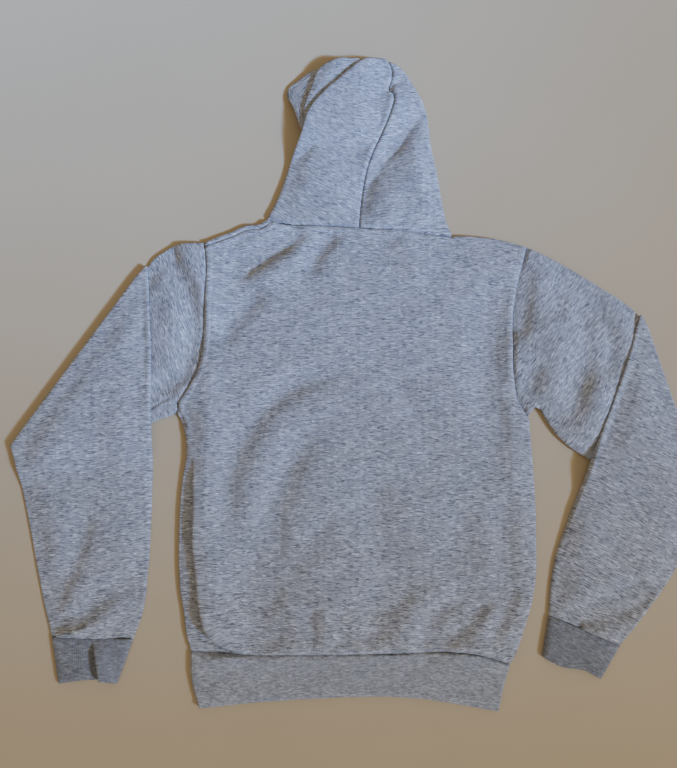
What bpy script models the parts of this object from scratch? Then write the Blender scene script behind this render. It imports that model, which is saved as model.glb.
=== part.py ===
"""Pullover hoodie laid flat with its back up, both sleeves folded over at the elbow.

Each cut piece is a wall of cloth of its own thickness. The tables give plan
positions and heights in millimetres, seen from above: +X to the right, +Y
towards the hood, +Z up, zero at the middle of the back until ORIGIN moves it.
"""
import bmesh
import bpy
import numpy as np

MM = 0.001
ORIGIN = (-3.33, 152.88)     # middle of the whole outline, in the tables' own plan

CLOTH = 2.2                 # brushed fleece
RIB = 2.6                   # cuffs and waistband
BAND = 4.4                  # hood hem, cloth turned double
SEAM = 0.3                  # between two sewn pieces
SIDE_SEAM = 0.55            # half of the gap between two walls that meet on edge

FLOOR = CLOTH / 2           # middle of a wall that lies on the surface
REST = 4.3                  # middle of a wall that lies on another one
SIDE = 4.0                  # height at which a rolled edge stands out furthest
ROLL = 6.0                  # how far in a rolled edge reaches full height
FOLD_RADIUS = 4.5           # middle of the sleeve at its elbow fold
FOLD_HALF = 1.9             # half the distance between the sleeve's two walls there
CORNER_GAP = 3.0            # more room where side, armhole and sleeve seams meet
PANEL_RIM = (0, 0.1, 2, 6)  # grid lines beside a body panel's rolled edges

# ---------------------------------------------------------------- outlines
# Body, from the waist seam up to the shoulder.
LEFT_SIDE = [(-219, -252), (-226, -231), (-231, -203), (-236, -181), (-240, -150),
             (-242, -115), (-243, -66), (-241, -27), (-238, 0), (-238, 15),
             (-241, 34), (-247, 52), (-255, 64)]
LEFT_ARMHOLE = [(-255, 64), (-253, 77), (-243, 94), (-229, 123), (-223, 166),
                (-222, 229), (-223, 278), (-228, 313)]
RIGHT_SIDE = [(195, -265), (206, -246), (216, -219), (222, -203), (229, -179),
              (234, -150), (236, -106), (237, -53), (236, -12), (235, 20),
              (234, 42), (233, 62)]
RIGHT_ARMHOLE = [(233, 62), (226, 74), (220, 88), (217, 106), (215, 128),
                 (216, 165), (219, 212), (226, 251), (234, 281), (242, 311)]
WAIST_SEAM = [(-219, -252), (-192, -253), (-155, -256), (-77, -256), (52, -253),
              (115, -251), (150, -253), (195, -265)]
LEFT_SHOULDER = [(-228, 313), (-210, 322), (-190, 330), (-167, 341), (-148, 343),
                 (-137, 351)]
NECK_SEAM = [(-137, 351), (-122, 346), (-100, 343), (-60, 341), (-3, 338),
             (56, 335), (110, 329), (133, 327)]
RIGHT_SHOULDER = [(133, 327), (160, 327), (201, 322), (221, 317), (242, 311)]
FRONT_NECK = [(-137, 351), (-105, 300), (-70, 280), (-29, 272), (29, 272),
              (70, 280), (103, 296), (133, 327)]
# The back rolls over itself along this line, and the strip left of it lies lower.
ROLLED_EDGE = [(-150, -257), (-160, -253), (-186, -241), (-200, -224), (-206, -193),
               (-213, -154), (-219, -114), (-222, -60), (-229, -17), (-238, 18)]
STRIP_HEIGHT = 5.4
STRIP_TOP_Y = 10
STRIP_FOOT = 69             # width of that strip at the waist seam

WAISTBAND = {"left": [(-219, -252), (-216, -288), (-205, -322)],
             "right": [(195, -265), (187, -288), (178, -322)],
             "hem": [(-205, -322), (-140, -315), (-76, -310), (91, -309),
                     (138, -316), (178, -322)]}

SLEEVES = {
    "left": {
        "shoulder_edge": [(-228, 313), (-248, 313), (-264, 311), (-286, 298),
                          (-301, 287), (-309, 275)],
        "underarm_edge": [(-255, 64), (-264, 59), (-277, 55), (-290, 49),
                          (-380, 33), (-478, 11)],
        "inner_edge": [(-309, 275), (-306, 250), (-302, 212), (-296, 160),
                       (-291, 60), (-287, 10), (-284, -70), (-284, -150),
                       (-288, -205), (-298, -238)],
        "outer_edge": [(-478, 11), (-462, -38), (-447, -88), (-432, -142),
                       (-417, -194), (-403, -236)],
        "cuff_end": [(-389, -294), (-372, -291), (-342, -289), (-315, -293)],
    },
    "right": {
        "shoulder_edge": [(242, 311), (265, 300), (310, 273), (354, 244),
                          (380, 226), (399, 209)],
        "underarm_edge": [(233, 62), (241, 73), (250, 73), (261, 55), (272, 38),
                          (288, 22), (316, 4), (400, -32), (470, -64)],
        "inner_edge": [(399, 209), (377, 146), (350, 82), (320, 11), (306, -26),
                       (282, -82), (263, -131), (254, -176), (251, -204)],
        "outer_edge": [(470, -64), (446, -102), (411, -158), (377, -199),
                       (341, -240)],
        "cuff_end": [(313, -282), (297, -273), (257, -265), (240, -255)],
    },
}

HOOD_SEAM = [(-3, 338), (0, 377), (6, 420), (18, 461), (33, 497), (46, 531),
             (48, 552), (43, 565), (46, 584), (46, 601), (40, 616)]
HOOD = {
    "left": {
        "outline": [(-137, 351), (-125, 377), (-113, 411), (-102, 452),
                    (-88, 498), (-80, 528), (-56, 562), (-34, 585)],
        "crown": [(-34, 585), (-14, 605), (5, 619), (24, 620), (40, 616)],
        "inner": [(-31, 273), (-31, 330), (-36, 370), (-52, 400), (-72, 425),
                  (-82, 447), (-83, 468), (-78, 498), (-68, 522), (-45, 548),
                  (-24, 570)],
    },
    "right": {
        "outline": [(133, 327), (125, 346), (119, 376), (112, 423), (102, 480),
                    (98, 521), (92, 546)],
        "crown": [(92, 546), (78, 573), (60, 602), (40, 616)],
        "inner": [(31, 273), (31, 340), (31, 420), (32, 500), (35, 590)],
    },
}
HEM_LINE = [(-15, 274), (-15, 330), (-16, 384), (-26, 430), (-44, 462),
            (-64, 485), (-79, 508), (-88, 534), (-93, 556), (-83, 574),
            (-63, 588), (-34, 587), (-8, 566), (8, 530), (14, 480), (15, 400),
            (15, 330), (15, 274)]
HEM_WIDTH = 27
HEM_CORNER = (-93, 559)     # where the band kinks outwards
BROW = {"outer": [(-87, 511), (-86, 537), (-77, 566), (-64, 601), (-50, 614),
                  (-34, 621), (-2, 628)],
        "hidden": [(-66, 509), (-58, 527), (-42, 549), (-22, 571), (-5, 590),
                   (16, 606)]}

CUFF_WIDTH = 90
CUFF_PLEAT = 0.5            # share of the left cuff's width, from its outer side

# ---------------------------------------------------------------- relief
# name, middle x and y, reach in x and y, height
LOFTS = [
    ("body", 0, 40, 270, 230, 2.4),
    ("above the waistband", -10, -222, 250, 26, 5.5),
    ("beside the rolled edge", -196, -120, 26, 130, 4.0),
    ("left rim", -228, 10, 22, 60, 2.5),
    ("right rim", 222, -80, 26, 150, 3.0),
    ("shoulder blades", -10, 210, 170, 90, 1.6),
    ("left sleeve head", -262, 215, 34, 90, 4.0),
    ("right sleeve head", 285, 170, 60, 90, 4.5),
    ("right underarm", 300, 60, 50, 50, 2.0),
    ("hood", 0, 450, 120, 110, 5.5),
    ("hood left", -60, 470, 45, 110, 4.0),
    ("hood crown", 20, 560, 62, 55, 9.0),
    ("hood right rim", 95, 470, 24, 90, 2.5),
]
# name, half width, height (a trough is negative), then the line
FOLDS = [
    ("left shoulder trough", 13, -3.2, [(-93, 318), (-134, 293), (-177, 264)]),
    ("left shoulder ridge", 16, 2.6, [(-90, 290), (-128, 268), (-160, 244)]),
    ("neck trough", 12, -1.8, [(-38, 314), (-59, 285), (-69, 250)]),
    ("neck ridge", 14, 1.8, [(50, 325), (72, 290), (92, 248)]),
    ("right upright trough", 17, -2.6, [(198, 245), (188, 156), (188, 70)]),
    ("outer arch", 15, -3.0, [(-177, -110), (-171, -16), (-152, 39), (-119, 81),
                              (-71, 106), (-20, 113)]),
    ("arch, right leg", 13, -2.0, [(30, 118), (70, 88), (95, 45), (112, 0)]),
    ("between the arches", 16, 2.2, [(-145, -100), (-138, -20), (-112, 30),
                                     (-70, 62), (-20, 75)]),
    ("inner arch", 14, -2.4, [(-117, -150), (-114, -83), (-96, -22), (-50, 24)]),
    ("upright trough", 12, -2.6, [(-118, -140), (-117, -190), (-114, -243)]),
    ("left upright ridge", 13, 2.4, [(-212, 150), (-210, 20), (-202, -120)]),
    ("gather 1", 8, -3.0, [(-143, -232), (-84, -246)]),
    ("gather 2", 7, -2.6, [(-66, -200), (-54, -249)]),
    ("gather 3", 8, -2.6, [(46, -185), (30, -246)]),
    ("gather 4", 8, -3.4, [(176, -196), (150, -225), (118, -248)]),
    ("gather 5", 7, -2.4, [(198, -212), (170, -250)]),
    ("left sleeve head trough", 11, -4.2, [(-283, 300), (-267, 278), (-253, 245),
                                           (-241, 203), (-232, 160)]),
    ("right sleeve head trough", 9, -3.2, [(242, 280), (235, 230), (233, 180)]),
    ("right sleeve trough", 14, -3.4, [(326, 205), (322, 128), (308, 40)]),
    ("right sleeve top trough", 12, -2.6, [(330, 236), (366, 190), (372, 150)]),
    ("right armpit trough", 8, -3.0, [(226, 113), (251, 104), (276, 96)]),
    ("hood crease", 11, -4.4, [(90, 518), (53, 458), (14, 398)]),
    ("hood ridge", 13, 3.0, [(76, 530), (38, 474), (4, 420)]),
    ("hood left trough", 11, -3.2, [(-28, 560), (-48, 525), (-60, 470)]),
    ("hood crown trough", 9, -3.0, [(-30, 574), (-4, 588), (16, 600)]),
    ("hood pinch", 7, -3.2, [(44, 556), (22, 566)]),
]
SLEEVE_FOLDS = {
    "left": [
        ("inner edge ridge", 12, 2.2, [(-298, 200), (-297, -20), (-296, -160)]),
        ("long trough", 22, -1.6, [(-350, 180), (-360, 40), (-352, -90)]),
        ("forearm trough", 10, -3.0, [(-352, -140), (-372, -180), (-390, -214)]),
        ("wrist trough", 8, -3.4, [(-316, -180), (-344, -208), (-386, -222)]),
    ],
    "right": [
        ("inner edge ridge", 12, 2.2, [(352, 130), (300, -10), (268, -140)]),
        ("long trough", 22, -1.6, [(440, 40), (390, -50), (330, -130)]),
        ("wrist trough", 9, -3.6, [(272, -196), (296, -216), (336, -198),
                                   (382, -176)]),
    ],
}

COLOURS = {"cloth": (0.36, 0.38, 0.41), "rib": (0.30, 0.32, 0.35),
           "hem": (0.33, 0.35, 0.38)}
FLEECE_ROUGHNESS = 0.95


# ---------------------------------------------------------------- curves
def spline(points, spacing=4.0):
    """A smooth curve through the points, as closely spaced points."""
    p = np.array(points, float)
    knots = np.concatenate([[0.0], np.cumsum(np.linalg.norm(np.diff(p, axis=0), axis=1))])
    slope = np.gradient(p, knots, axis=0) if len(p) > 2 else np.array([p[1] - p[0]] * 2) / knots[-1]
    t = np.linspace(0, knots[-1], max(3, int(knots[-1] / spacing)))
    i = np.clip(np.searchsorted(knots, t, "right") - 1, 0, len(p) - 2)
    h = (knots[i + 1] - knots[i])[:, None]
    s = (t - knots[i])[:, None] / h
    return ((2 * s**3 - 3 * s**2 + 1) * p[i] + (s**3 - 2 * s**2 + s) * h * slope[i]
            + (3 * s**2 - 2 * s**3) * p[i + 1] + (s**3 - s**2) * h * slope[i + 1])


def runs(curve):
    """Distance along the curve at each of its points."""
    return np.concatenate([[0.0], np.cumsum(np.linalg.norm(np.diff(curve, axis=0), axis=1))])


def at(curve, distance):
    """Points at the given distances along the curve."""
    run = runs(curve)
    return np.stack([np.interp(distance, run, curve[:, k]) for k in (0, 1)], axis=-1)


def at_share(curve, share):
    return at(curve, np.asarray(share) * runs(curve)[-1])


def nearest(points, curve):
    """Distance to the curve, share of its length there, and the side: + is left of it."""
    a, step = curve[:-1], np.diff(curve, axis=0)
    away = points[:, None] - a
    t = np.clip((away * step).sum(-1) / (step**2).sum(-1), 0, 1)
    off = away - t[..., None] * step
    gap = np.linalg.norm(off, axis=-1)
    k = gap.argmin(axis=1)
    row = np.arange(len(points))
    side = step[k, 0] * off[row, k, 1] - step[k, 1] * off[row, k, 0]
    return gap[row, k], (k + t[row, k]) / len(a), np.sign(side)


def smooth(x, low, high):
    t = np.clip((np.asarray(x, float) - low) / (high - low), 0, 1)
    return t * t * (3 - 2 * t)


def rounded(distance, reach):
    """0 at a rolled edge, 1 from the given reach inwards, as a quarter ellipse."""
    return np.sqrt(1 - (1 - np.clip(distance / reach, 0, 1))**2)


OUTLINES = [spline(c) for c in (
    LEFT_SIDE, RIGHT_SIDE, LEFT_SHOULDER, RIGHT_SHOULDER,
    WAISTBAND["left"], WAISTBAND["right"],
    *(SLEEVES[s][e] for s in SLEEVES for e in ("shoulder_edge", "underarm_edge")),
    *(HOOD[s][e] for s in HOOD for e in ("outline", "crown")))]


def to_outline(points):
    return np.min([nearest(points, c)[0] for c in OUTLINES], axis=0)


# ---------------------------------------------------------------- heights
def relief(points, folds):
    """Sum of the folds: soft troughs and ridges that fade out at their ends."""
    total = np.zeros(len(points))
    for name, half_width, height, line in folds:
        gap, share, side = nearest(points, spline(line))
        ends = smooth(share, 0, 0.25) * smooth(1 - share, 0, 0.25)
        beyond = np.minimum(share, 1 - share) <= 0
        total += height * np.exp(-(gap / half_width)**2) * np.where(beyond, 0, ends)
    return total


def lofts(points):
    total = np.zeros(len(points))
    for name, x, y, reach_x, reach_y, height in LOFTS:
        total += height * np.exp(-((points[:, 0] - x) / reach_x)**2
                                 - ((points[:, 1] - y) / reach_y)**2)
    return total


def elbow_fade(points):
    """0 on the elbow folds, 1 from 40 mm away, so that the sleeve is pressed flat there."""
    fade = np.ones(len(points))
    for sleeve in SLEEVES.values():
        line = np.array([sleeve["shoulder_edge"][-1], sleeve["underarm_edge"][-1]], float)
        fade = np.minimum(fade, smooth(nearest(points, line)[0], 0, 40))
    return fade


def full_height(points):
    """Middle of the upper wall, before its edges are rolled down."""
    height = REST + np.maximum(lofts(points) + relief(points, FOLDS), 0.0) * elbow_fade(points) + 0.5
    gap, share, side = nearest(points, spline(ROLLED_EDGE))
    strip = smooth(-side * gap, 3.5, -1.5) * smooth(points[:, 1], STRIP_TOP_Y, STRIP_TOP_Y - 45)
    strip = strip * smooth(points[:, 0], -120, -150)
    return height + (STRIP_HEIGHT - height) * strip


def edge_height(points):
    """A rolled edge's height: lower at the elbow folds, where the sleeve is thin."""
    return SIDE - (SIDE - FLOOR - FOLD_HALF) * (1 - elbow_fade(points))


def upper(points, lift=0.0):
    """Middle of the wall that shows."""
    edge = edge_height(points) + lift
    return edge + (full_height(points) - edge) * rounded(to_outline(points), ROLL)


def lower(points, lift=0.0):
    """Middle of the wall on the surface."""
    edge = edge_height(points)
    return lift + edge + (FLOOR - edge) * rounded(to_outline(points), ROLL)


# ---------------------------------------------------------------- patches
def stations(width, middle, rim=(0, 2, 6)):
    """Distances across a piece: close together at both rolled edges."""
    rim = np.array(rim, float)
    inner = rim[-1] + (width - 2 * rim[-1]) * np.array(middle)
    return np.concatenate([rim, inner, width - rim[::-1]])


def patch(left, right, bottom, top, share):
    """Plan points between four edges: rows run left to right, share is each column's place."""
    rows = len(left)
    run = (runs(left) / runs(left)[-1] + runs(right) / runs(right)[-1]) / 2
    v = run[:, None, None]
    u = np.broadcast_to(share, (rows, np.shape(share)[-1]))[..., None]
    straight = (1 - u) * left[:, None] + u * right[:, None]
    low = at_share(bottom, u[..., 0]) - ((1 - u) * bottom[0] + u * bottom[-1])
    high = at_share(top, u[..., 0]) - ((1 - u) * top[0] + u * top[-1])
    return straight + (1 - v) * low + v * high


def lifted(plan, height):
    """Plan points with their heights, in the shape of the plan."""
    flat = plan.reshape(-1, 2)
    return np.concatenate([flat, np.reshape(height(flat), (-1, 1))], axis=1).reshape(*plan.shape[:-1], 3)


# ---------------------------------------------------------------- making
def material(name, colour):
    made = bpy.data.materials.new(name)
    made.use_nodes = True
    shader = made.node_tree.nodes["Principled BSDF"]
    shader.inputs["Base Color"].default_value = (*colour, 1)
    shader.inputs["Roughness"].default_value = FLEECE_ROUGHNESS
    return made


def cloth(name, points, thickness, colour, ring=False):
    """A wall of cloth on a grid of middle points; a ring's last column joins its first."""
    if ring:
        points = np.concatenate([points, points[:, :1]], axis=1)
    rows, columns = points.shape[:2]
    grid = bmesh.new()
    bmesh.ops.create_grid(grid, x_segments=columns - 1, y_segments=rows - 1, size=1)
    grid.verts.ensure_lookup_table()
    flat = points.reshape(-1, 3) - (*ORIGIN, 0)
    for vert, point in zip(grid.verts, flat * MM):
        vert.co = point
    if ring:
        bmesh.ops.remove_doubles(grid, verts=grid.verts, dist=1e-6)
    mesh = bpy.data.meshes.new(name)
    grid.to_mesh(mesh)
    grid.free()
    mesh.shade_smooth()
    piece = bpy.data.objects.new(name, mesh)
    collection.objects.link(piece)
    mesh.materials.append(material(name, colour))
    wall = piece.modifiers.new("wall", "SOLIDIFY")
    wall.thickness = thickness * MM
    wall.offset = 0
    wall.use_even_offset = True
    wall.use_quality_normals = True
    return piece


# ---------------------------------------------------------------- body
ARMHOLE_MIDDLE = (0.035, 0.085, 0.15, 0.24, 0.35, 0.47, 0.60, 0.74, 0.87)
SIDE_RISE = (0, 5, 12, 22, 36, 55, 80, 112, 150, 190, 230, 268)


def side_rows(side, armhole, rises):
    """Points up one edge of a body panel: the side seam, then the armhole."""
    side, armhole = spline(side), spline(armhole)
    height = runs(side)[-1]
    lower_part = at(side, np.array([*rises, height - 12, height - 5, height]))
    around = stations(runs(armhole)[-1], ARMHOLE_MIDDLE)
    around = np.insert(around, -1, around[-1] - PANEL_RIM[1])
    return np.concatenate([lower_part, at(armhole, around[1:])])


def make_back():
    left = side_rows(LEFT_SIDE, LEFT_ARMHOLE, SIDE_RISE)
    right = side_rows(RIGHT_SIDE, RIGHT_ARMHOLE, SIDE_RISE)
    top = np.concatenate([spline(LEFT_SHOULDER), spline(NECK_SEAM), spline(RIGHT_SHOULDER)])
    edge = spline(ROLLED_EDGE)
    share = []
    for a, b in zip(left, right):
        width = np.linalg.norm(b - a)
        strip = 12.0
        if a[1] < ROLLED_EDGE[-1][1]:
            strip = max(strip, np.interp(a[1], edge[:, 1], edge[:, 0]) - a[0])
        strip += (STRIP_FOOT - strip) * smooth(a[1], -244, -251)
        near = [*PANEL_RIM, (6 + strip - 2) / 2, strip - 2, strip + 0.5, strip + 3, strip + 9]
        far = strip + 9 + (width - 6 - strip - 9) * np.linspace(0, 1, 21)[1:-1]
        share.append([*(d / width for d in near), *far / width,
                      *(1 - d / width for d in PANEL_RIM[::-1])])
    plan = patch(left, right, spline(WAIST_SEAM), top, np.array(share))
    points = lifted(plan, lambda p: upper(p, SIDE_SEAM))
    return cloth("back", points, CLOTH, COLOURS["cloth"])


def make_front():
    rises = SIDE_RISE[::3]
    left = side_rows(LEFT_SIDE, LEFT_ARMHOLE, rises)
    right = side_rows(RIGHT_SIDE, RIGHT_ARMHOLE, rises)
    top = np.concatenate([spline(LEFT_SHOULDER), np.array(FRONT_NECK[1:-1], float),
                          spline(RIGHT_SHOULDER)])
    run = runs(top)
    neck = [run[np.argmin(np.linalg.norm(top - p, axis=1))] for p in np.array(FRONT_NECK, float)]
    end = run[-1]
    across = np.array([*PANEL_RIM, *np.linspace(6, neck[0], 4)[1:-1], *neck,
                       *np.linspace(neck[-1], end - 6, 6)[1:-1],
                       *(end - d for d in PANEL_RIM[::-1])]) / end
    plan = patch(left, right, spline(WAIST_SEAM), top, across)
    points = lifted(plan, lambda p: lower(p, -SIDE_SEAM * (1 - rounded(to_outline(p), ROLL))))
    return cloth("front", points, CLOTH, COLOURS["cloth"])


# ---------------------------------------------------------------- ribs and sleeves
def ring_from(upper_row, lower_row):
    """One ring of a flattened tube: over the top, then back along the underside."""
    return np.concatenate([upper_row, lower_row[-2:0:-1]])


def make_waistband():
    columns = stations(430, np.linspace(0, 1, 20)[1:-1]) / 430
    left, right = spline(WAISTBAND["left"]), spline(WAISTBAND["right"])
    rows = np.array([SEAM + 0.2, 14, 34, 54, runs(left)[-1]])
    hem = spline(WAISTBAND["hem"])
    plan = patch(at(left, rows), at(right, rows * runs(right)[-1] / rows[-1]),
                 spline(WAIST_SEAM), hem, columns)
    top = lifted(plan, lambda p: upper(p) + (RIB - CLOTH) / 2)
    under = lifted(plan, lambda p: lower(p, (RIB - CLOTH) / 2))
    points = np.array([ring_from(a, b) for a, b in zip(top, under)])
    return cloth("waistband", points, RIB, COLOURS["rib"], ring=True)


def sleeve_shapes(name):
    sleeve = SLEEVES[name]
    armhole = spline(LEFT_ARMHOLE if name == "left" else RIGHT_ARMHOLE)
    edges = {key: spline(line) for key, line in sleeve.items()}
    fold = np.array([sleeve["underarm_edge"][-1], sleeve["shoulder_edge"][-1]], float)
    wrist = np.array([sleeve["outer_edge"][-1], sleeve["inner_edge"][-1]], float)
    outward = fold[1] - fold[0]
    outward = np.array([-outward[1], outward[0]]) / np.linalg.norm(outward)
    if (outward[0] > 0) != (name == "right"):
        outward = -outward
    return armhole, edges, fold, wrist, outward


def make_sleeve(name):
    """Rings from the armhole to the elbow, over the fold, and back down to the wrist."""
    armhole, edges, fold, wrist, outward = sleeve_shapes(name)
    near = np.array([0.0, 0.06, 0.12, 0.20, 0.32, 0.48, 0.65, 0.82, 1.0])
    across = stations(runs(armhole)[-1], ARMHOLE_MIDDLE) / runs(armhole)[-1]
    plan = patch(at_share(edges["underarm_edge"], near), at_share(edges["shoulder_edge"], near),
                 armhole, fold, across)
    clear = plan[1] - plan[0]
    clear /= np.linalg.norm(clear, axis=1)[:, None]
    from_corner = across * runs(armhole)[-1]
    from_end = from_corner[-1] - from_corner
    plan[0] += clear * (SEAM + CORNER_GAP * np.exp(-from_corner / 7)
                        + SEAM * np.exp(-from_end / 3))[:, None]
    top, under = lifted(plan, upper), lifted(plan, lower)
    rings = [ring_from(a, b) for a, b in zip(top, under)]

    elbow = at_share(fold, across)
    reach = np.linalg.norm(fold[1] - fold[0])
    bulge = FOLD_RADIUS * (0.4 + 0.6 * smooth((1 - across) * reach, 0, 25))[:, None]
    half = FOLD_HALF * rounded(np.minimum(across, 1 - across) * reach, ROLL)
    for turn in np.radians([35, 70, 105, 140, 175]):
        middle = np.concatenate([elbow + outward * bulge * np.sin(turn),
                                 np.full((len(elbow), 1), FLOOR + FOLD_HALF
                                         + FOLD_RADIUS * (1 - np.cos(turn)))], axis=1)
        normal = np.array([*(-outward * np.sin(turn)), np.cos(turn)])
        rings.append(ring_from(middle + normal * half[:, None], middle - normal * half[:, None]))

    far = np.array([0.05, 0.12, 0.22, 0.34, 0.47, 0.60, 0.72, 0.82, 0.90, 0.96, 1.0])
    plan = patch(at_share(edges["outer_edge"], np.append(0, far)),
                 at_share(edges["inner_edge"], np.append(0, far)), fold, wrist, across)[1:]
    under = lifted(plan, lambda p: over_support(p, name))
    top = under.copy()
    flat = plan.reshape(-1, 2)
    thick = 2 * FOLD_HALF + (2.5 + relief(flat, SLEEVE_FOLDS[name])) * smooth(
        nearest(flat, fold)[0], 0, 60)
    thick = np.maximum(thick, 2 * FOLD_HALF - 0.4).reshape(plan.shape[:2])
    top[..., 2] += thick
    edge = under[..., 2] + FOLD_HALF
    rim = rounded(np.minimum(*(nearest(flat, edges[key])[0]
                               for key in ("outer_edge", "inner_edge"))), ROLL).reshape(edge.shape)
    top[..., 2] = edge + (top[..., 2] - edge) * rim
    under[..., 2] = edge + (under[..., 2] - edge) * rim
    rings += [ring_from(a, b) for a, b in zip(under, top)]
    return cloth(f"sleeve_{name}", np.array(rings), CLOTH, COLOURS["cloth"], ring=True)


def over_support(points, name):
    """Middle of the forearm's underside: on the upper arm, then down to the surface."""
    underarm = spline(SLEEVES[name]["underarm_edge"])
    gap, share, side = nearest(points, underarm)
    inside = side * gap * (-1 if name == "left" else 1)
    held = smooth(inside, -48, -3)
    on_arm = full_height(points) + CLOTH + SEAM + 0.3
    fold = np.array([SLEEVES[name]["underarm_edge"][-1], SLEEVES[name]["shoulder_edge"][-1]], float)
    bulb = np.exp(-(nearest(points, fold)[0] / 22)**2)
    held_height = on_arm + (FLOOR + 2 * FOLD_RADIUS - on_arm) * bulb
    return FLOOR + (held_height - FLOOR) * np.maximum(held, bulb)


def make_cuff(name):
    armhole, edges, fold, wrist, outward = sleeve_shapes(name)
    end = edges["cuff_end"]
    rows = np.array([0.0, 0.3, 0.65, 1.0])
    sides = [np.array([wrist[k] + (end[-k] - wrist[k]) * r for r in rows]) for k in (0, 1)]
    across = stations(100, ARMHOLE_MIDDLE) / 100
    plan = patch(sides[0], sides[1], wrist, end, across)
    clear = plan[1] - plan[0]
    plan[0] += SEAM * clear / np.linalg.norm(clear, axis=1)[:, None]
    rim = rounded(np.minimum(across, 1 - across) * CUFF_WIDTH, ROLL)
    half = 2.1 + 0.4 * np.sin(np.linspace(0, np.pi, len(across)))
    if name == "left":
        half = half - 0.6 * np.exp(-((across - CUFF_PLEAT) / 0.08)**2)
    middle = RIB / 2 + FOLD_HALF
    top, under = middle + rim * (2 * half - FOLD_HALF), middle - rim * FOLD_HALF
    rings = [ring_from(np.column_stack([row, under]), np.column_stack([row, top])) for row in plan]
    return cloth(f"cuff_{name}", np.array(rings), RIB, COLOURS["rib"], ring=True)


# ---------------------------------------------------------------- hood
def flap_lift(points):
    """The left half is held up where the brow and the hem pass under it."""
    return 7.4 * smooth(points[:, 1], 464, 488) * smooth(points[:, 0], 30, 0)


def make_hood(name):
    """From the centre seam over the top to the rolled outline, and back under."""
    hood = HOOD[name]
    centre, outline, crown = spline(HOOD_SEAM), spline(hood["outline"]), spline(hood["crown"])
    inner = spline(hood["inner"])
    rows = np.array([0, 0.06, 0.14, 0.23, 0.33, 0.43, 0.53, 0.63, 0.73, 0.82, 0.90, 0.96, 0.985, 1.0])
    neck = spline(NECK_SEAM)
    half = [p for p in neck if (p[0] < HOOD_SEAM[0][0]) == (name == "left")]
    neck_half = np.array([np.array(HOOD_SEAM[0], float)] + (half[::-1] if name == "left" else half))
    width = 130
    across = (stations(width, np.linspace(0, 1, 9)[1:-1], (0, 2, 6)) / width)
    across = np.concatenate([[0], across[3:]])
    seam_side, rim_side = at_share(centre, rows), at_share(outline, rows)
    plan = patch(seam_side, rim_side, neck_half, crown[::-1], across)
    sign = 1 if name == "right" else -1
    plan[:, 0, 0] += sign * (SEAM / 2 + SEAM * smooth(rows, 0.85, 0.95))
    plan[0] += np.outer(SEAM + 0.1 + 1.2 * smooth(across, 0.6, 1), (0, 1))
    flat = plan.reshape(-1, 2)
    crown_edge = 1 - smooth(nearest(flat, crown)[0], 4, 22)
    lift = flap_lift(flat)
    edge = SIDE + lift - 1.6 * crown_edge
    full = np.maximum(full_height(flat), REST + lift + 0.3)
    top = edge + (full - edge) * rounded(to_outline(flat), ROLL)
    over = np.column_stack([flat, top]).reshape(*plan.shape[:2], 3)

    brim = at_share(inner, rows)
    width = np.linalg.norm(brim - rim_side, axis=1)
    inward = np.array([[0.8, 3.0, 7.0, (7 + w) / 2, w] for w in width]) / width[:, None]
    neck_line = np.array(FRONT_NECK, float)
    neck_line = neck_line[:4] if name == "left" else neck_line[:3:-1]
    under_plan = rim_side[:, None] + (brim - rim_side)[:, None] * inward[..., None]
    under_plan[0] = np.concatenate([at(neck_line, [2, 8]), neck_line[1:]]) + (-1.9 * sign, 1.6)
    under_plan[0, -1] = brim[0]
    under_plan[-2:] += (0, -3)
    flat = under_plan.reshape(-1, 2)
    lift = flap_lift(flat)
    away = np.linalg.norm(under_plan - rim_side[:, None], axis=2).reshape(-1)
    low = lift + SIDE + (FLOOR - SIDE) * rounded(away, ROLL)
    beneath = np.column_stack([flat, low]).reshape(*under_plan.shape[:2], 3)
    return cloth(f"hood_{name}", np.concatenate([over, beneath], axis=1), CLOTH, COLOURS["cloth"])


def make_brow():
    """Forehead of the hood, folded under, with only its outer strip in sight."""
    outer, hidden = spline(BROW["outer"]), spline(BROW["hidden"])
    rows = np.linspace(0, 1, 9)
    across = np.array([0, 0.12, 0.35, 0.65, 1.0])
    a, b = at_share(outer, rows)[:, None], at_share(hidden, rows)[:, None]
    plan = a + (b - a) * across[:, None]
    level = BAND + SEAM + CLOTH / 2 + 0.1
    edge = level - 2.6 * smooth(rows, 0.82, 0.97)[:, None] * (1 - rounded(across, 0.3))
    return cloth("hood_brow", np.concatenate([plan, edge[..., None]], axis=2), CLOTH, COLOURS["cloth"])


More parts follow.
